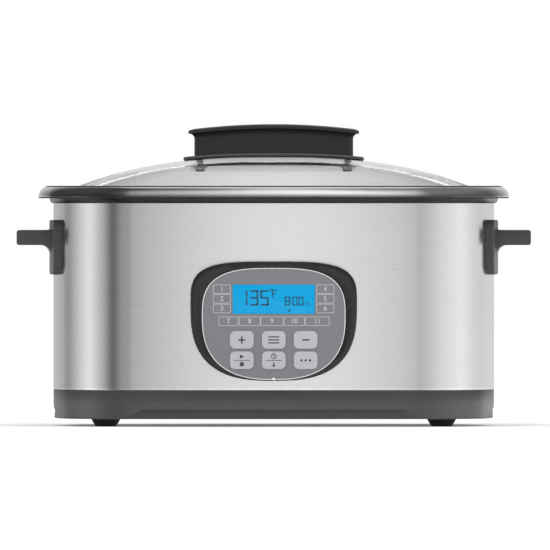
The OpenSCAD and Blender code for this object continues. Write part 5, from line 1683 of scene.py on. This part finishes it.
@dataclass
class Fasteners:
    """All screws, spacers and nuts of the body."""

    sunk_z: float = 7.2
    cover_top: float = 8.0
    liner: Flat = (38.2, 39.0)
    tie_at: Flat = (105.0, 50.0)
    leg_at: Flat = (73.0, 46.0)
    board_at: tuple[float, float, float] = (50.0, 28.0, 52.0)
    board_top: float = 17.6
    fascia_at: tuple[Flat, Flat] = ((45.0, 105.6), (45.0, 76.6))
    board_back: float = -121.7
    inlet_at: Point = (20.0, 126.5, 52.0)
    grip_at: Flat = (35.0, 150.6)
    grip_end: float = 192.6
    steel_t: float = 0.8
    cover_x: float = 60.0
    cover_in: float = 6.5

    def nut(self, across: float, tall: float, bore: float) -> Shape:
        """Return a six sided nut with eased corners, standing on zero."""
        half, sixth = across / 2, math.pi / 6

        def hexagon(limit: float) -> Callable[[float], float]:
            """Return how far the six sides reach at an angle, within a limit that eases the corners."""
            return lambda a: min(half * math.cos(sixth) / math.cos(a % (2 * sixth) - sixth), limit * half)

        section = [(hexagon(0.92), 0.0), (hexagon(1.0), 0.15 * tall), (hexagon(1.0), 0.85 * tall),
                   (hexagon(0.92), tall), (bore / 2, tall), (bore / 2, 0.0)]
        return Shape.spun(section, 48, Ends.LOOP)

    def build(self) -> None:
        """Make each group of fasteners as one piece."""
        down, front, sides = (math.pi, 0.0, 0.0), (math.pi / 2, 0.0, 0.0), (-1, 1)
        grip_y, grip_z = self.grip_at
        grip_x = PLAN.end_x(grip_y + 3.5, -self.steel_t) - 0.2
        cover = four((self.cover_x, PLAN.back_y(self.cover_x, -self.cover_in)), self.sunk_z)
        cover += [Place((side * (PLAN.half_l - self.cover_in), 0.0, self.sunk_z)) for side in sides]
        grips = [Place((side * grip_x, y * grip_y, grip_z), (0.0, side * math.pi / 2, 0.0))
                 for side in sides for y in sides]
        fascia = [Place((side * x, self.board_back, z), front) for x, z in self.fascia_at for side in sides]
        inlet = [Place((side * self.inlet_at[0], *self.inlet_at[1:]), front) for side in sides]
        boards = four(self.board_at[:2], self.board_top, down, self.board_at[2])
        ties, low, (under, over) = four(self.tie_at, 0.0), self.cover_top, self.liner
        spacer = Shape.spun([(2.3, low), (4.8, low), (5.0, low + 0.2), (5.0, under - 0.2), (4.8, under),
                             (2.3, under)], 40, Ends.LOOP)
        for name, template, places, node in (
                ("cover_pan_screws", screw(2.4, 5.28, 1.2, 8.8), cover, "cover_screws"),
                ("tie_bolts", screw(4.0, 8.0, 1.2, 36.0), four(self.tie_at, self.sunk_z), "tie_screws"),
                ("tie_tubes", spacer, ties, "tie_spacers"),
                ("tie_hex_nuts", self.nut(8.0, 3.2, 4.12), four(self.tie_at, over), "tie_nuts"),
                ("grip_screws", screw(3.6, 7.0, 2.4, self.grip_end - grip_x), grips, "handle_screws"),
                ("heater_leg_screws", screw(3.0, 6.0, 2.0, 10.2), four(self.leg_at, under), "heater_screws"),
                ("fascia_screws", screw(2.2, 4.6, 1.6, 5.8), fascia, "control_board_screws"),
                ("board_pan_screws", screw(2.4, 4.8, 1.6, 8.6), boards, "power_board_screws"),
                ("inlet_pan_screws", screw(2.8, 5.6, 1.8, 7.5), inlet, "inlet_screws")):
            piece = REPEATER.spread(name, template, places, PLATED)
            Workshop.dressed(piece, "housing", "plated_steel", [PLATED], [node])


# Studio and camera

@dataclass
class Studio:
    """Pale floor, soft light from all round and the camera straight in front."""

    distance: float = 20.0
    elevation: float = 0.2
    aim: Point = (0.001, 0.0, 0.1205)
    view_width: float = 0.4407
    sensor: float = 36.0
    plain_light: float = 0.62
    # Levels that shiny surfaces see below and above the horizon, by azimuth in degrees from straight ahead
    low_bands: Stops = (
        (-180, 0.7), (-125, 0.6), (-100, 1.4), (-78, 2.2), (-50, 0.9), (-39, 0.1), (-25, 0.9), (-9, 0.7),
        (-5, 2.2), (5, 2.3), (9, 1.0), (20, 1.3), (50, 1.9), (85, 2.2), (110, 1.6), (180, 0.7))
    front_box: Stops = (
        (-180, 0.01), (-45, 0.03), (-20, 0.1), (-9, 0.4), (0, 1.0), (5, 1.15), (8, 1.0), (11, 0.5),
        (30, 0.15), (180, 0.05))
    side_glow: Stops = (
        (-180, 0.8), (-172, 0.55), (-158, 0.2), (-140, 0.04), (-30, 0.01), (30, 0.05), (130, 0.08),
        (158, 0.25), (172, 0.6), (180, 0.8))
    brightest: float = 2.5
    # How the light changes with height: over the horizon, across it, and down towards the floor
    height: Stops = ((0.0, 0.04), (0.2, 0.2), (0.39, 0.5), (0.68, 1.0), (1.0, 0.9))
    horizon: Stops = ((0.49, 1.0), (0.54, 0.0))
    deepening: Stops = ((0.06, 0.0), (0.24, 1.0))
    deep_loss: float = 0.5
    floor_half: float = 40000.0
    floor_colour: tuple[float, float, float, float] = (0.95, 0.95, 0.95, 1.0)
    floor_glow: Stops = ((0.15, 0.15), (0.5, 0.5))
    lamp_target: Point = (0.0, 0.0, 0.12)

    @staticmethod
    def rays(shader: Shader) -> list[Value]:
        """Return what tells the camera's rays, those through glass and those off shiny surfaces."""
        return [shader.node("ShaderNodeLightPath", output=name) for name in (
            "Is Camera Ray", "Is Transmission Ray", "Is Glossy Ray")]

    def world(self) -> None:
        """Make the light all round: white to the eye and through glass, banded to shiny surfaces."""
        world = bpy.data.worlds.new("studio")
        bpy.context.scene.world = world
        world.use_nodes = True
        shader = Shader(world.node_tree)
        way = shader.node("ShaderNodeTexCoord", output="Generated")
        x, y, z = (shader.node("ShaderNodeSeparateXYZ", None, {0: way}, output=axis) for axis in "XYZ")
        turn = x.math("ARCTAN2", x, 0.0 - y)
        share = turn / (2 * math.pi) + 0.5
        low, front, side = (self.brightest * shader.ramp(
            share, [((azimuth + 180) / 360, level / self.brightest) for azimuth, level in bands])
            for bands in (self.low_bands, self.front_box, self.side_glow))
        under = shader.ramp(z + 0.5, self.horizon)
        deep = 1 - self.deep_loss * shader.ramp(0.0 - z, self.deepening)
        band = (1 - under) * (front * shader.ramp(z, self.height) + side) + under * deep * low
        eye, through, glossy = self.rays(shader)
        level = self.plain_light * (0.8 + 0.2 * z.greatest(0.0))
        seen = glossy * band + (1 - glossy) * level
        white = eye.greatest(through)
        strength = white + (1 - white) * seen
        light = shader.node("ShaderNodeBackground", None, {"Color": WHITE, "Strength": strength})
        shader.node("ShaderNodeOutputWorld", None, {"Surface": light})

    def floor(self) -> None:
        """Make the pale floor, white to the eye outside the shadow."""
        half, drop = self.floor_half, -0.02
        corners = [(x * half, y * half, drop) for x, y in ((-1, -1), (1, -1), (1, 1), (-1, 1))]
        floor = Shape(corners, [(0, 1, 2, 3)]).made("floor")
        material = bpy.data.materials.new("floor_white")
        material.use_nodes = True
        shader = Shader(material.node_tree)
        eye, through, _ = self.rays(shader)
        matt = shader.node("ShaderNodeBsdfDiffuse", None, {"Color": self.floor_colour})
        away = shader.node("ShaderNodeVectorMath", {"operation": "LENGTH"}, {0: shader.spot()},
                           output="Value")
        glow = eye.greatest(through) * shader.ramp(away / 2, self.floor_glow)
        lift = shader.node("ShaderNodeEmission", None, {"Color": WHITE, "Strength": glow})
        both = shader.node("ShaderNodeAddShader", None, {0: matt, 1: lift})
        shader.node("ShaderNodeOutputMaterial", None, {"Surface": both})
        floor.data.materials.append(material)
        floor.visible_glossy = False

    def lamps(self) -> None:
        """Hang the soft lamps: one above and one on each side."""
        for name, at, size, power in (("lamp_left", (-1.5, -0.5, 0.7), 1.2, 9.0),
                                      ("lamp_right", (1.5, -0.5, 0.7), 1.2, 9.0),
                                      ("lamp_above", (0.0, -0.3, 1.8), 1.6, 10.0)):
            data = bpy.data.lights.new(name, "AREA")
            data.shape = "DISK"
            data.size = size
            data.energy = power
            lamp = bpy.data.objects.new(name, data)
            lamp.location = at
            lamp.rotation_euler = (Vector(self.lamp_target) - Vector(at)).to_track_quat("-Z", "Y").to_euler()
            lamp.visible_camera = False
            lamp.visible_glossy = False
            lamp.visible_transmission = False
            bpy.context.scene.collection.objects.link(lamp)

    def camera(self) -> None:
        """Set the camera far in front with a long lens, so that depth keeps one scale."""
        data = bpy.data.cameras.new("front_view")
        data.sensor_width = self.sensor
        data.lens = self.sensor * self.distance / self.view_width
        data.clip_end = 400.0
        tilt = math.radians(self.elevation)
        camera = bpy.data.objects.new("front_view", data)
        camera.location = (self.aim[0], -self.distance * math.cos(tilt),
                           self.aim[2] + self.distance * math.sin(tilt))
        camera.rotation_euler = (math.pi / 2 - tilt, 0.0, 0.0)
        bpy.context.scene.collection.objects.link(camera)
        bpy.context.scene.camera = camera

    def build(self) -> None:
        """Set up the whole studio."""
        bpy.context.scene.view_settings.view_transform = "Standard"
        self.camera()
        self.world()
        self.floor()
        self.lamps()


def main() -> None:
    """Build the studio and every sub-assembly."""
    logging.basicConfig(level=logging.INFO, format="%(message)s")
    Studio().build()
    panel = Panel()
    Lid().build()
    Pot().build()
    Body().build(panel.window())
    Base().build()
    SideHandles().build()
    panel.build()
    Heater().build()
    PowerParts().build()
    Fasteners().build()


if __name__ == "__main__":
    main()
